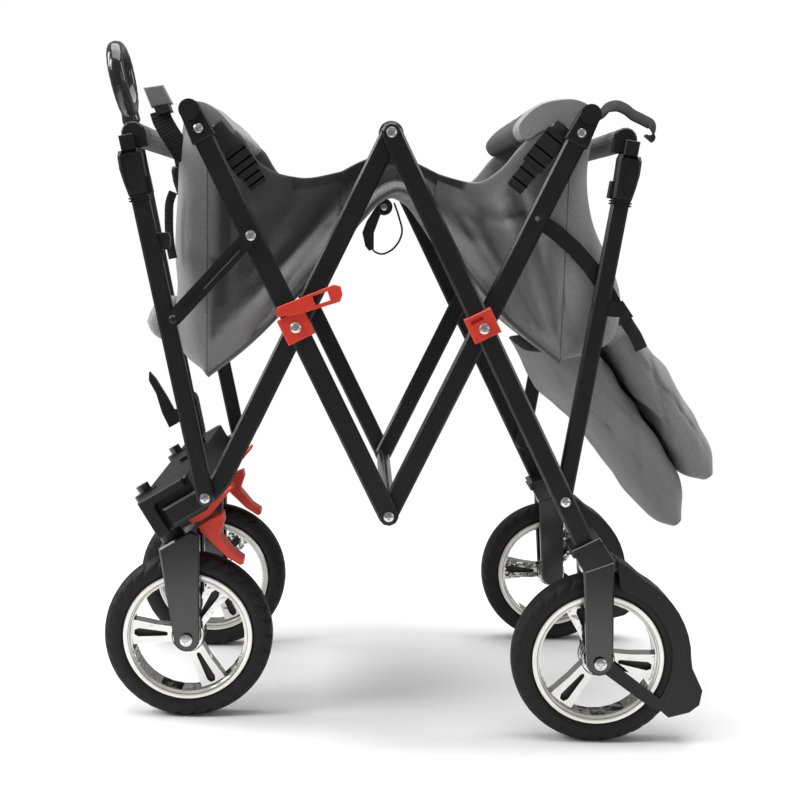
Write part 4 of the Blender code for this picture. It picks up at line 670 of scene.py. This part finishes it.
def build_pockets():
    """The cloth rolls at the foot of the front wall and the straps that hang the rear basket."""
    cloth, web, plastic = material("grey_cloth"), material("black_webbing"), material("clip_plastic")
    outline = curve(FOOT_ROLL, 29)[:-1]
    centre = outline.mean(axis=0)
    stations = np.linspace(0.045, 0.212, 22)
    for side, label in SIDES:
        verts = []
        for share, y in zip(np.arange(len(stations)) / (len(stations) - 1), stations):
            swell = math.sin(math.pi * min(max(share * 0.96 + 0.02, 0), 1)) ** 0.28
            wave = 1 + 0.05 * math.sin(share * 17 + side)
            verts += [(x, side * y, z) for x, z in centre + (outline - centre) * swell * wave]
        roll = add_mesh(f"front_foot_roll_{label}", verts, ring_faces(len(stations), len(outline)), cloth, 60)
        fasten(roll, "front_brace")
        y = side * 0.164
        webbing(f"basket_strap_{label}", BASKET_STRAP, y, (0.75, 0, 0.66), 0.018, 0.0018, web, "rear_brace")
        adjuster = bar_outline((0.2890, 0.6060), (0.3050, 0.5840), 0.024)
        piece = plate(f"basket_adjuster_{label}", adjuster, y - 0.003, y + 0.003, plastic, 0.001)
        fasten(piece, "rear_brace")


# Bolts and wheel details

def surfaces():
    """Search trees of the CAD nodes that stay visible, for finding their faces."""
    trees = {}
    for name, obj in frame["nodes"].items():
        if name in ("tub_fabric", "rear_basket"):
            continue
        faces = [tuple(p.vertices) for p in obj.data.polygons]
        trees[name] = BVHTree.FromPolygons([v.co for v in obj.data.vertices], faces)
    return trees


def spot(trees, x, z, side, away=(0.0, 0.0)):
    """The outermost CAD face at (x, z) from one side: its y and its node."""
    best = None
    outside, reach = 0.6, 1.2
    start = Vector((x + away[0], side * outside, z + away[1]))
    for name, tree in trees.items():
        place, _, _, distance = tree.ray_cast(start, Vector((0, -side, 0)), reach)
        if place is not None and (best is None or distance < best[2]):
            best = (place.y, name, distance)
    if best is None:
        raise RuntimeError(f"no face at {x}, {z}")
    return best[0], best[1]


def bolt_cap(name, x, z, y, side, radius, height, body):
    """A domed bolt head with a cross recess, its face at y."""
    rings, around = 9, 32
    verts = [(x, y + side * height * 0.66, z)]
    for i in range(1, rings + 1):
        share = min(i / rings * 1.12, 1)
        r = radius * share
        for j in range(around):
            a = 2 * math.pi * j / around
            dome = height * (1 - 0.42 * share ** 2.4) if i < rings else 0.0
            u, v = r * math.cos(a), r * math.sin(a)
            if r < radius * 0.62 and min(abs(u), abs(v)) < radius * 0.12:
                dome -= height * 0.34
            verts.append((x + u, y + side * dome, z + v))
    faces = [(0, 1 + j, 1 + (j + 1) % around) for j in range(around)]
    for i in range(rings - 1):
        a, b = 1 + i * around, 1 + (i + 1) * around
        faces += [(a + j, b + j, b + (j + 1) % around, a + (j + 1) % around) for j in range(around)]
    faces.append(tuple(1 + (rings - 1) * around + j for j in range(around))[::-1])
    if side > 0:
        faces = [f[::-1] for f in faces]
    fasten(add_mesh(name, verts, faces, material("bolt_steel"), 50), body)


# Bolt heads: name, x, z and radius
BOLTS = (
    ("apex", -0.0350, 0.8300, 0.0070), ("rhombus_foot", -0.02471, 0.31716, 0.0070),
    ("front_crossing", -0.15503, 0.57107, 0.0072), ("rear_crossing", 0.09532, 0.57609, 0.0072),
    ("front_pivot", -0.27313, 0.33695, 0.0068), ("rear_pivot", 0.21487, 0.34318, 0.0068),
    ("front_link_top", -0.21635, 0.69055, 0.0067), ("rear_link_top", 0.16362, 0.72343, 0.0067),
    ("front_cap", -0.2865, 0.8272, 0.0060), ("rear_cap", 0.2164, 0.8373, 0.0060),
)
# Wheels: body, hub's x, side and the wheel's distance from the middle
HUBS = (
    ("front_wheel_near", -0.304, NEAR, 0.168), ("front_wheel_far", -0.304, FAR, 0.168),
    ("rear_wheel_near", 0.2714, NEAR, 0.240), ("rear_wheel_far", 0.2714, FAR, 0.240),
)


# Ribs of a front link: place across it, and where along it they start and end
LINK_RIBS = ((0.0092, 0.02, 0.98), (-0.0092, 0.02, 0.98), (0.0030, 0.16, 0.62))


def link_edges(trees):
    """Rolled edges and a pressed rib along the front links, coloured bright metal to paint their highlight
    lines.
    """
    edge, section = material("link_edge_painted_highlight"), round_section(0.0009, 8)
    a, b = np.array([-0.21635, 0.69055]), np.array([-0.31732, 0.57773])
    t = unit(b - a)
    n = np.array([-t[1], t[0]])
    for side, label in SIDES:
        y, node = spot(trees, *(a + b) / 2, side)
        made = []
        for k, (off, start, end) in enumerate(LINK_RIBS):
            line = [a + (b - a) * w + n * off for w in np.linspace(start, end, 12)]
            path = [(x, y + side * 0.0002, z) for x, z in line]
            made.append(sweep(f"link_edge_part_{k}", path, section, (0, 1, 0), edge))
        fasten(join_all(f"link_edges_{label}", made), BODY_OF[node])


def build_bolts():
    """The front links' edges and the domed heads on pivots and axles, on both sides of the wagon."""
    trees = surfaces()
    link_edges(trees)
    lift = 0.0001
    for name, x, z, radius in BOLTS:
        for side, label in SIDES:
            ring = [(radius * 1.25 * math.cos(a), radius * 1.25 * math.sin(a)) for a in (0.5, 2.6, 3.7, 5.8)]
            head_y, node = spot(trees, x, z, side)
            faces = [spot(trees, x, z, side, away)[0] for away in ring]
            base = max([y for y in faces if abs(y - head_y) < 0.006] or [head_y], key=lambda y: side * y)
            height = max(abs(head_y - base) + 0.0014, 0.0036)
            bolt_cap(f"bolt_{name}_{label}", x, z, base + side * lift, side, radius, height, BODY_OF[node])
    for name, x, side, _ in HUBS:
        y, node = spot(trees, x, HUB_Z, side)
        bolt_cap(f"axle_bolt_{name}", x, HUB_Z, y + side * lift, side, 0.0086, 0.0042, BODY_OF[node])


TYRE_PROFILE = pts(
    909, -155, 950, -188, 1001, -209, 1070, -206, 1130, -190, 1172, -150, 1192, -95, 1199, 0, 1192, 95, 1172,
    150, 1130, 190, 1070, 206, 1001, 209, 950, 188, 909, 155)


def build_tyre(axle, label, hub_x, track, grooves, body):
    """A tyre with leaf-shaped grooves round both shoulders and a shallow tread line in the middle."""
    profile = curve(TYRE_PROFILE, 39)
    around = grooves * 10
    verts = []
    for i in range(around):
        a = 2 * math.pi * i / around
        for r, y in profile:
            shoulder = max(0.0, 1 - abs(abs(y) - 0.0165) / 0.0068) if r > 0.108 else 0.0
            turn = (a * grooves / (2 * math.pi) + 0.55 * (r - 0.108) / 0.012) % 1.0
            cut = math.exp(-((turn - 0.5) / 0.11) ** 2) * shoulder ** 0.5
            radius = r - 0.0026 * cut - math.exp(-(y / 0.0022) ** 2) * 0.0009
            across = y - math.copysign(0.0022 * cut, y) if abs(y) > 0.002 else y
            verts.append((hub_x + radius * math.cos(a), track + across, HUB_Z + radius * math.sin(a)))
    faces = ring_faces(around, len(profile), True)
    obj = add_mesh(f"detailed_{axle}_tyre_{label}", verts, faces, material("tyre_rubber_black"), 50)
    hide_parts(f"{axle}_tyre_{label}")
    fasten(obj, body)


def turned_ring(name, hub_x, track, profile, around, finish, body):
    """A closed (radius, y) profile turned round a wheel's axle."""
    turns = [2 * math.pi * i / around for i in range(around)]
    verts = [(hub_x + r * math.cos(a), track + y, HUB_Z + r * math.sin(a)) for a in turns for r, y in profile]
    faces = ring_faces(around, len(profile), True)
    fasten(add_mesh(name, verts, faces, material(finish), 30), body)


# Rings on either face of a rim: name, (radius, y) profile, steps round, finish and slot
RIM_RINGS = (
    ("rim_line", pts(852, 198, 846, 196, 846, 201, 852, 204), 96, "dark_groove", "tyre_rubber"),
    # The chrome lip's creamy white colour is a painted reflection of the pale room.
    ("rim_lip", pts(918, 186, 914, 199, 902, 205, 860, 202, 834, 192, 822, 176, 812, 150, 830, 150, 850, 172),
     120, "rim_lip", "chrome"),
    ("hub_line", pts(226, 125, 226, 150, 236, 150, 236, 125), 72, "dark_groove", "chrome"),
)
# Half outline of a spoke's slot: radius and half width
SPOKE_SLOT = pts(300, 20, 330, 36, 500, 50, 700, 68, 770, 60, 785, 30)


def soft_grip():
    """The pull grip with its facets rounded away."""
    grip = copied("smooth_pull_grip", "pull_grip", "gloss_black", 80)
    remesh = grip.modifiers.new("skin", "REMESH")
    remesh.mode, remesh.voxel_size, remesh.use_smooth_shade = "VOXEL", 0.0022, True
    soften = grip.modifiers.new("soften", "SMOOTH")
    soften.factor, soften.iterations = 0.6, 14
    bpy.context.view_layer.update()
    soft = bpy.data.meshes.new_from_object(grip.evaluated_get(bpy.context.evaluated_depsgraph_get()))
    grip.modifiers.clear()
    grip.data = soft
    for face in soft.polygons:
        face.use_smooth = True


def build_wheels():
    """Tyres with grooves, the rims' rings and slots, the near rear rim as photographed, and the soft grip."""
    for name, x, side, track in HUBS:
        axle, _, label = name.split("_")
        build_tyre(axle, label, x, side * track, 33, name)
        for face, tag in ((1, "b"), (-1, "a")):
            for ring, profile, around, finish, slot_name in RIM_RINGS:
                turned_ring(f"{ring}_{tag}_{name}", x, side * track, [(r, face * y) for r, y in profile],
                            around, finish, name)
    hub = Vector(NEAR_REAR_HUB)
    spin = Matrix.Rotation(math.radians(RIM_TURN), 4, "Y")
    turn = Matrix.Translation(hub) @ spin @ Matrix.Translation(-hub)
    copied("detailed_rear_rim_near", "rear_rim_near", "rim_chrome", 40, turn)
    soft_grip()
    groove = material("dark_groove")
    for name, x, side, track in HUBS:
        start = math.radians(FIRST_SPOKE - (RIM_TURN if name == "rear_wheel_near" else 0.0))
        made = []
        for k in range(3):
            a = start + 2 * math.pi * k / 3
            out = np.array([math.cos(a), math.sin(a)])
            over = np.array([-out[1], out[0]])
            hub = np.array([x, HUB_Z])
            points = [hub + out * r + over * w for r, w in SPOKE_SLOT]
            points += [hub + out * r - over * w for r, w in SPOKE_SLOT[::-1]]
            y = side * track
            made.append(plate(f"slot_{name}_{k}", points, y - 0.004, y + 0.004, groove, 0.0004))
        fasten(join_all(f"spoke_slots_{name}", made), name)


def copied(name, node, finish, angle, turn=None):
    """A node's form as a new mesh, with its own edges smoothed."""
    mesh = frame["nodes"][node].data.copy()
    if turn is not None:
        mesh.transform(turn)
    mesh.name = name
    mesh.materials.clear()
    mesh.materials.append(material(finish))
    for face in mesh.polygons:
        face.use_smooth = True
    mesh.set_sharp_from_angle(angle=math.radians(angle))
    obj = link(bpy.data.objects.new(name, mesh))
    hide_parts(node)
    return fasten(obj, BODY_OF[node])


# Finishes

def material(name):
    """A material of the scene by its name."""
    return bpy.data.materials[name]


def add_node(tree, kind, inputs=(), **settings):
    """A shader node with its settings, and its inputs set or linked."""
    made = tree.nodes.new(kind)
    for key, value in settings.items():
        setattr(made, key, value)
    for key, value in dict(inputs).items():
        if isinstance(value, bpy.types.NodeSocket):
            tree.links.new(value, made.inputs[key])
        else:
            made.inputs[key].default_value = value
    return made


def new_group(name, inputs):
    """A group that puts out Colour, Height and Rough, with its input's and output's sockets."""
    group = bpy.data.node_groups.new(name, "ShaderNodeTree")
    for label, value in inputs:
        kind = "NodeSocketColor" if isinstance(value, tuple) else "NodeSocketFloat"
        group.interface.new_socket(label, in_out="INPUT", socket_type=kind).default_value = value
    for label, kind in (("Colour", "Color"), ("Height", "Float"), ("Rough", "Float")):
        group.interface.new_socket(label, in_out="OUTPUT", socket_type="NodeSocket" + kind)
    return group, group.nodes.new("NodeGroupInput").outputs, group.nodes.new("NodeGroupOutput").inputs


def noise(tree, place, scale, detail, **inputs):
    settings = {"Vector": place, "Scale": scale, "Detail": detail, **inputs}
    return add_node(tree, "ShaderNodeTexNoise", settings).outputs["Fac"]


def mapped(tree, value, start, end, low=0.0, high=1.0):
    """A value from start to end, brought to low to high."""
    inputs = {"Value": value, "From Min": start, "From Max": end, "To Min": low, "To Max": high}
    return add_node(tree, "ShaderNodeMapRange", inputs).outputs["Result"]


def maths(tree, operation, a, b):
    return add_node(tree, "ShaderNodeMath", {0: a, 1: b}, operation=operation).outputs[0]


def tinted(tree, share, first, second, level):
    """A mix of two colours by share, brightened by level."""
    mix = add_node(tree, "ShaderNodeMix", {0: share, 6: first, 7: second}, data_type="RGBA").outputs[2]
    return add_node(tree, "ShaderNodeVectorMath", {0: mix, "Scale": level}, operation="SCALE").outputs[0]


def put_out(group, out, colour, height, rough):
    for label, value in (("Colour", colour), ("Height", height), ("Rough", rough)):
        group.links.new(value, out[label])


def weave_group():
    """Melange cloth: light and dark threads, slow changes of brightness and a fine woven relief; the last
    input scales brightness for a dark binding and painted shade.
    """
    group, given, out = new_group("Heather Weave", (
        ("Light", (0.3, 0.3, 0.3, 1)), ("Dark", (0.1, 0.1, 0.1, 1)), ("Threads", 520.0), ("Tone", 7.0),
        ("Binding and Painted Shade", 1.0)))
    place = add_node(group, "ShaderNodeTexCoord").outputs["Object"]
    fleck = noise(group, place, given["Threads"], 2.0, Roughness=0.7)
    share = mapped(group, fleck, 0.34, 0.66)
    level = mapped(group, noise(group, place, given["Tone"], 3.0), 0.25, 0.75, 0.86, 1.10)
    # The last input scales brightness: painted shade on side panels and a dark binding's own colour.
    level = maths(group, "MULTIPLY", level, given["Binding and Painted Shade"])
    bands = {"Vector": place, "Scale": 190.0, "Distortion": 0.6, "Detail": 1.0}
    warp, weft = (add_node(group, "ShaderNodeTexWave", bands, bands_direction=way).outputs["Fac"]
                  for way in "XZ")
    relief = maths(group, "ADD", maths(group, "MULTIPLY", warp, weft), fleck)
    colour = tinted(group, share, given["Dark"], given["Light"], level)
    put_out(group, out, colour, relief, mapped(group, fleck, 0.0, 1.0, 0.74, 0.98))
    return group


def finish_group():
    """Paint and moulded surfaces: fine grain, slow mottling and light scuffs."""
    group, given, out = new_group("Surface Wear", (
        ("Base", (0.02, 0.02, 0.02, 1)), ("Scuff", (0.06, 0.06, 0.06, 1)), ("Grain", 900.0), ("Scuffs", 0.3),
        ("Smooth", 0.3), ("Dull", 0.45)))
    place = add_node(group, "ShaderNodeTexCoord").outputs["Object"]
    mottle = noise(group, place, 14.0, 4.0, Roughness=0.65)
    long = add_node(group, "ShaderNodeVectorMath", {0: place, 1: (1.0, 1.0, 0.12)}, operation="MULTIPLY")
    scratch = mapped(group, noise(group, long.outputs[0], 260.0, 3.0), 0.66, 0.78)
    share = maths(group, "MULTIPLY", scratch, given["Scuffs"])
    colour = tinted(group, share, given["Base"], given["Scuff"], mapped(group, mottle, 0.3, 0.7, 0.88, 1.12))
    rough = mapped(group, mottle, 0.25, 0.75, given["Smooth"], given["Dull"])
    put_out(group, out, colour, noise(group, place, given["Grain"], 2.0), rough)
    return group


def shaded(name, group, values, strength, distance, sockets):
    """A material whose Principled shader takes colour, roughness and relief from a group."""
    made = bpy.data.materials.new(name)
    made.use_nodes = True
    tree = made.node_tree
    shader = tree.nodes["Principled BSDF"]
    effect = tree.nodes.new("ShaderNodeGroup")
    effect.node_tree = group
    for key, value in values.items():
        effect.inputs[key].default_value = (*value, 1) if isinstance(value, tuple) else value
    tree.links.new(effect.outputs["Colour"], shader.inputs["Base Color"])
    tree.links.new(effect.outputs["Rough"], shader.inputs["Roughness"])
    relief = {"Strength": strength, "Distance": distance, "Height": effect.outputs["Height"]}
    tree.links.new(add_node(tree, "ShaderNodeBump", relief).outputs["Normal"], shader.inputs["Normal"])
    for key, value in sockets.items():
        shader.inputs[key].default_value = value
    return effect


def grey(value, blue=None):
    return (value, value, value if blue is None else blue)


def build_materials(cloth, finish):
    """Every material, from the two shared groups."""
    weave, wear = weave_group(), finish_group()
    light, dark = tuple(cloth.light), tuple(cloth.dark)
    effects = {}
    for name, pale, deep, threads, strength, distance, sockets in (
        ("grey_cloth", light, dark, cloth.threads, 0.35, 0.0006, {"Sheen Weight": 0.15}),
        ("wall_cloth", light, dark, cloth.threads, 0.35, 0.0006, {"Sheen Weight": 0.15}),
        ("tape_cloth", tuple(c * 0.24 for c in light), tuple(c * 0.22 for c in dark), 700.0, 0.4, 0.0005, {}),
        ("foam_grey", grey(0.200, 0.203), grey(0.130, 0.133), 650.0, 0.5, 0.0008, {}),
        ("black_webbing", grey(0.024, 0.025), grey(0.010, 0.011), 800.0, 0.6, 0.0008, {}),
        ("dark_piping", grey(0.15, 0.153), grey(0.080, 0.082), 900.0, 0.4, 0.0004, {}),
        ("seam_thread", grey(0.36, 0.37), grey(0.22, 0.23), 1200.0, 0.3, 0.0002, {}),
    ):
        values = {"Light": pale, "Dark": deep, "Threads": threads}
        effects[name] = shaded(name, weave, values, strength, distance, sockets)
    # The wall cloth's brightness follows a vertex attribute: the binding's own dark colour and painted shade
    # on the front side panels.
    tree = material("wall_cloth").node_tree
    binding_and_painted_shade = add_node(tree, "ShaderNodeVertexColor", layer_name="binding_and_painted_shade")
    tree.links.new(binding_and_painted_shade.outputs["Color"], effects["wall_cloth"].inputs["Binding and Painted Shade"])
    for name, base, scuff, grain, scuffs, smooth, dull, strength, distance, sockets in (
        ("tube_paint", tuple(finish.paint), grey(0.05, 0.052), 1400.0, 0.25, 0.34, 0.46, 0.08, 0.0002,
         {"Coat Weight": 0.35, "Coat Roughness": 0.16, "Specular IOR Level": 0.30}),
        ("moulded_black", tuple(finish.plastic), grey(0.05), 1800.0, 0.3, 0.36, 0.52, 0.35, 0.0003,
         {"Specular IOR Level": 0.35}),
        ("gloss_black", grey(0.010, 0.011), grey(0.03), 900.0, 0.15, 0.14, 0.24, 0.05, 0.0002,
         {"Coat Weight": 0.5, "Coat Roughness": 0.12}),
        ("clip_plastic", grey(0.014, 0.015), grey(0.05), 1500.0, 0.2, 0.24, 0.38, 0.2, 0.0002, {}),
        ("grey_clip", grey(0.16, 0.165), grey(0.3), 1500.0, 0.2, 0.34, 0.48, 0.2, 0.0002, {}),
        ("latch_red", tuple(finish.red), (0.85, 0.25, 0.2), 1400.0, 0.35, 0.30, 0.44, 0.25, 0.0002, {}),
        ("tyre_rubber_black", grey(0.0065, 0.0068), grey(0.03), 700.0, 0.4, 0.50, 0.72, 0.4, 0.0004,
         {"Specular IOR Level": 0.30}),
        ("dark_groove", grey(0.010), grey(0.03), 900.0, 0.2, 0.4, 0.6, 0.2, 0.0002, {}),
        ("rim_chrome", grey(0.60, 0.585), grey(0.6), 70.0, 0.1, 0.05, 0.12, 0.30, 0.0030, {"Metallic": 1.0}),
        # Painted reflection: the chrome lip's creamy white colour stands for the pale room it reflects.
        ("rim_lip", (0.80, 0.79, 0.75), grey(0.6), 200.0, 0.1, 0.10, 0.18, 0.03, 0.0004, {"Metallic": 0.45}),
        # Painted highlight: the links' edges and rib are coloured bright metal for their highlight lines.
        ("link_edge_painted_highlight", grey(0.30, 0.31), grey(0.5), 400.0, 0.4, 0.16, 0.30, 0.05, 0.0002,
         {"Metallic": 0.85}),
        ("bolt_steel", grey(0.62, 0.63), grey(0.35), 1200.0, 0.5, 0.18, 0.34, 0.1, 0.0002, {"Metallic": 1.0}),
        ("bare_steel", grey(0.70, 0.71), grey(0.4), 1200.0, 0.5, 0.14, 0.28, 0.1, 0.0002, {"Metallic": 1.0}),
    ):
        values = {"Base": base, "Scuff": scuff, "Grain": grain, "Scuffs": scuffs,
                  "Smooth": smooth, "Dull": dull}
        shaded(name, wear, values, strength, distance, sockets)


SLOT_FINISH = {
    "black_tube": "tube_paint", "black_plastic": "moulded_black", "tyre_rubber": "tyre_rubber_black",
    "chrome": "rim_chrome", "bare_metal": "bare_steel", "red_plastic": "latch_red", "foam": "foam_grey",
    "grey_fabric": "grey_cloth",
}
NODE_FINISH = dict.fromkeys(
    ("pull_grip", "front_fork_near", "front_fork_far", "rear_fork_near", "rear_fork_far"), "gloss_black")


def dress_nodes():
    """Every CAD node's finish, by its slot in the record."""
    for name, obj in frame["nodes"].items():
        finish = material(NODE_FINISH.get(name, SLOT_FINISH[SLOT_OF[name]]))
        for slot in obj.material_slots:
            slot.material = finish


# Studio

CAMERA_PLACE = (-0.0713, -2.1076, 0.7141)
CAMERA_TURNS = (1.784, -7.332, 1.662)


def set_camera(stage):
    """The camera at the photo's place; its turns are yaw, pitch and roll in degrees."""
    yaw, pitch, roll = (math.radians(turn) for turn in CAMERA_TURNS)
    forward = Vector((math.sin(yaw) * math.cos(pitch), math.cos(yaw) * math.cos(pitch), math.sin(pitch)))
    right = Vector((math.cos(yaw), -math.sin(yaw), 0))
    up = right.cross(forward)
    across = math.cos(roll) * right + math.sin(roll) * up
    upward = -math.sin(roll) * right + math.cos(roll) * up
    data = bpy.data.cameras.new("camera")
    data.sensor_width = 36
    data.lens = stage.lens
    data.clip_end = 50
    obj = link(bpy.data.objects.new("camera", data))
    turn = Matrix((across, upward, -forward)).transposed().to_4x4()
    obj.matrix_world = Matrix.Translation(CAMERA_PLACE) @ turn
    bpy.context.scene.camera = obj


def softbox(name, place, target, width, height, power):
    """A flat rectangular lamp that faces the target."""
    data = bpy.data.lights.new(name, "AREA")
    data.shape = "RECTANGLE"
    data.size, data.size_y, data.energy = width, height, power
    obj = link(bpy.data.objects.new(name, data))
    away = Vector(place) - Vector(target)
    obj.matrix_world = Matrix.Translation(place) @ away.to_track_quat("Z", "Y").to_matrix().to_4x4()


def build_floor():
    """A pale round floor that fades out before its edge."""
    made = bpy.data.materials.new("studio_floor")
    made.use_nodes = True
    tree = made.node_tree
    tree.nodes.clear()
    place = add_node(tree, "ShaderNodeTexCoord").outputs["Object"]
    distance = add_node(tree, "ShaderNodeVectorMath", {0: place}, operation="LENGTH").outputs["Value"]
    fade = add_node(tree, "ShaderNodeMapRange", {"Value": distance, "From Min": 0.80, "From Max": 1.45},
                    interpolation_type="SMOOTHSTEP")
    paper = add_node(tree, "ShaderNodeTexNoise", {"Vector": place, "Scale": 60.0}).outputs["Fac"]
    level = mapped(tree, paper, 0.0, 1.0, 0.90, 0.93)
    diffuse = add_node(tree, "ShaderNodeBsdfDiffuse", {"Color": level})
    clear = add_node(tree, "ShaderNodeBsdfTransparent")
    shaders = {0: fade.outputs["Result"], 1: diffuse.outputs[0], 2: clear.outputs[0]}
    both = add_node(tree, "ShaderNodeMixShader", shaders)
    add_node(tree, "ShaderNodeOutputMaterial", {"Surface": both.outputs[0]})
    half = 1.6
    mesh = bpy.data.meshes.new("studio_floor")
    corners = [(-half, -half, 0), (half, -half, 0), (half, half, 0), (-half, half, 0)]
    mesh.from_pydata(corners, [], [(0, 1, 2, 3)])
    mesh.materials.append(made)
    link(bpy.data.objects.new("studio_floor", mesh))


def build_studio(stage):
    """Camera, floor, lamps and the white room."""
    set_camera(stage)
    build_floor()
    for name, place, target, width, height, power in (
        ("overhead", (0.0, 0.2, 3.0), (0, 0, 0), 3.2, 3.2, stage.overhead),
        ("key", (-2.5, -1.1, 1.9), (0, 0, 0.5), 0.9, 1.2, stage.key),
        ("edge_left", (-2.4, 0.15, 1.75), (0, 0, 0.5), 0.7, 1.6, stage.edge),
        ("edge_right", (2.4, 0.15, 1.75), (0, 0, 0.5), 0.7, 1.6, stage.edge * 0.6),
        ("fill", (2.4, -2.4, 1.0), (0, 0, 0.5), 1.4, 1.4, stage.fill),
    ):
        softbox(name, place, target, width, height, power)
    world = bpy.data.worlds.new("world")
    world.use_nodes = True
    tree = world.node_tree
    background = tree.nodes["Background"]
    seen = add_node(tree, "ShaderNodeLightPath").outputs["Is Camera Ray"]
    background.inputs["Color"].default_value = (1, 1, 1, 1)
    tree.links.new(mapped(tree, seen, 0.0, 1.0, stage.ambient, 1.0), background.inputs["Strength"])
    bpy.context.scene.world = world
    bpy.context.scene.view_settings.view_transform = "Standard"


# Sizes and colours that a user would change

class WagonCloth(bpy.types.PropertyGroup):
    light: FloatVectorProperty(
        name="Light thread", description="Colour of the cloth's light threads", subtype="COLOR", size=3,
        min=0, max=1, default=(0.300, 0.300, 0.303))
    dark: FloatVectorProperty(
        name="Dark thread", description="Colour of the cloth's dark threads", subtype="COLOR", size=3, min=0,
        max=1, default=(0.215, 0.215, 0.218))
    # Painted shade: how dark the front end's side panels are painted.
    panel_shade: FloatProperty(
        name="Side panel shade", description="Brightness of the front end's side panels beside the rest",
        default=0.30, min=0.1, max=1.5, subtype="FACTOR")
    threads: FloatProperty(
        name="Thread scale", description="How fine the mix of threads is", default=520.0, min=50, max=3000)
    thickness: FloatProperty(
        name="Cloth thickness", description="Thickness of the tub's walls", default=0.0030, min=0.0005,
        max=0.02, unit="LENGTH")


class WagonFinish(bpy.types.PropertyGroup):
    paint: FloatVectorProperty(
        name="Tube paint", description="Colour of the frame's tubes", subtype="COLOR", size=3, min=0, max=1,
        default=(0.0060, 0.0060, 0.0063))
    plastic: FloatVectorProperty(
        name="Moulded plastic", description="Colour of the moulded pieces", subtype="COLOR", size=3, min=0,
        max=1, default=(0.0075, 0.0075, 0.0078))
    red: FloatVectorProperty(
        name="Latch red", description="Colour of the latch, catch and lock pedals", subtype="COLOR", size=3,
        min=0, max=1, default=(0.74, 0.045, 0.022))


class WagonStage(bpy.types.PropertyGroup):
    lens: FloatProperty(
        name="Lens", description="Focal length of the camera in millimetres", default=62.33, min=10, max=300)
    overhead: FloatProperty(
        name="Overhead lamp", description="Power of the softbox above", default=118.0, min=0, unit="POWER")
    key: FloatProperty(
        name="Key lamp", description="Power of the softbox at the front left", default=46.0, min=0,
        unit="POWER")
    fill: FloatProperty(
        name="Fill lamp", description="Power of the softbox at the front right", default=6.0, min=0,
        unit="POWER")
    edge: FloatProperty(
        name="Edge lamps", description="Power of the tall softboxes at the sides", default=34.0, min=0,
        unit="POWER")
    ambient: FloatProperty(
        name="Ambient", description="Strength of the room's own light", default=0.27, min=0, max=2)


class WAGON_OT_finishes(bpy.types.Operator):
    """Make the materials and give every CAD node its finish"""
    bl_idname = "wagon.finishes"
    bl_label = "Finishes"

    def execute(self, context):
        build_materials(context.scene.wagon_cloth, context.scene.wagon_finish)
        dress_nodes()
        return {"FINISHED"}


class WAGON_OT_tub(bpy.types.Operator):
    """Make the fabric tub: walls, floor panels, cuffs, piping and stitching"""
    bl_idname = "wagon.tub"
    bl_label = "Tub"

    def execute(self, context):
        bind_tub(*build_tub(context.scene.wagon_cloth.thickness, context.scene.wagon_cloth.panel_shade))
        build_trim()
        return {"FINISHED"}


class WAGON_OT_basket(bpy.types.Operator):
    """Make the slack rear basket"""
    bl_idname = "wagon.basket"
    bl_label = "Rear basket"

    def execute(self, context):
        build_basket(material("grey_cloth"))
        return {"FINISHED"}


class WAGON_OT_straps(bpy.types.Operator):
    """Make the straps, buckles, loops and the front roll"""
    bl_idname = "wagon.straps"
    bl_label = "Straps"

    def execute(self, context):
        build_straps()
        build_pockets()
        return {"FINISHED"}


class WAGON_OT_bolts(bpy.types.Operator):
    """Make the front links' edges and the domed bolt heads on the pivots and axles"""
    bl_idname = "wagon.bolts"
    bl_label = "Bolts"

    def execute(self, context):
        build_bolts()
        return {"FINISHED"}


class WAGON_OT_wheels(bpy.types.Operator):
    """Make the grooved tyres, the rims' details and the pull grip"""
    bl_idname = "wagon.wheels"
    bl_label = "Wheels"

    def execute(self, context):
        build_wheels()
        return {"FINISHED"}


class WAGON_OT_stage(bpy.types.Operator):
    """Make the camera, the floor and the lamps"""
    bl_idname = "wagon.stage"
    bl_label = "Studio"

    def execute(self, context):
        build_studio(context.scene.wagon_stage)
        return {"FINISHED"}


STEPS = (WAGON_OT_finishes, WAGON_OT_tub, WAGON_OT_basket, WAGON_OT_straps, WAGON_OT_bolts,
         WAGON_OT_wheels, WAGON_OT_stage)


class WAGON_PT_panel(bpy.types.Panel):
    bl_label = "Folding wagon"
    bl_idname = "WAGON_PT_panel"
    bl_space_type = "VIEW_3D"
    bl_region_type = "UI"
    bl_category = "Wagon"

    def draw(self, context):
        for group in (context.scene.wagon_cloth, context.scene.wagon_finish, context.scene.wagon_stage):
            for key in group.bl_rna.properties.keys():
                if key not in ("rna_type", "name"):
                    self.layout.prop(group, key)
        for step in STEPS:
            self.layout.operator(step.bl_idname)


CLASSES = (WagonCloth, WagonFinish, WagonStage, *STEPS, WAGON_PT_panel)


def register():
    for item in CLASSES:
        bpy.utils.register_class(item)
    bpy.types.Scene.wagon_cloth = PointerProperty(type=WagonCloth)
    bpy.types.Scene.wagon_finish = PointerProperty(type=WagonFinish)
    bpy.types.Scene.wagon_stage = PointerProperty(type=WagonStage)


def unregister():
    del bpy.types.Scene.wagon_cloth, bpy.types.Scene.wagon_finish, bpy.types.Scene.wagon_stage
    for item in reversed(CLASSES):
        bpy.utils.unregister_class(item)


def main():
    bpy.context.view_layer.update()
    register()
    for step in STEPS:
        group, name = step.bl_idname.split(".")
        getattr(getattr(bpy.ops, group), name)()


if __name__ == "__main__":
    main()
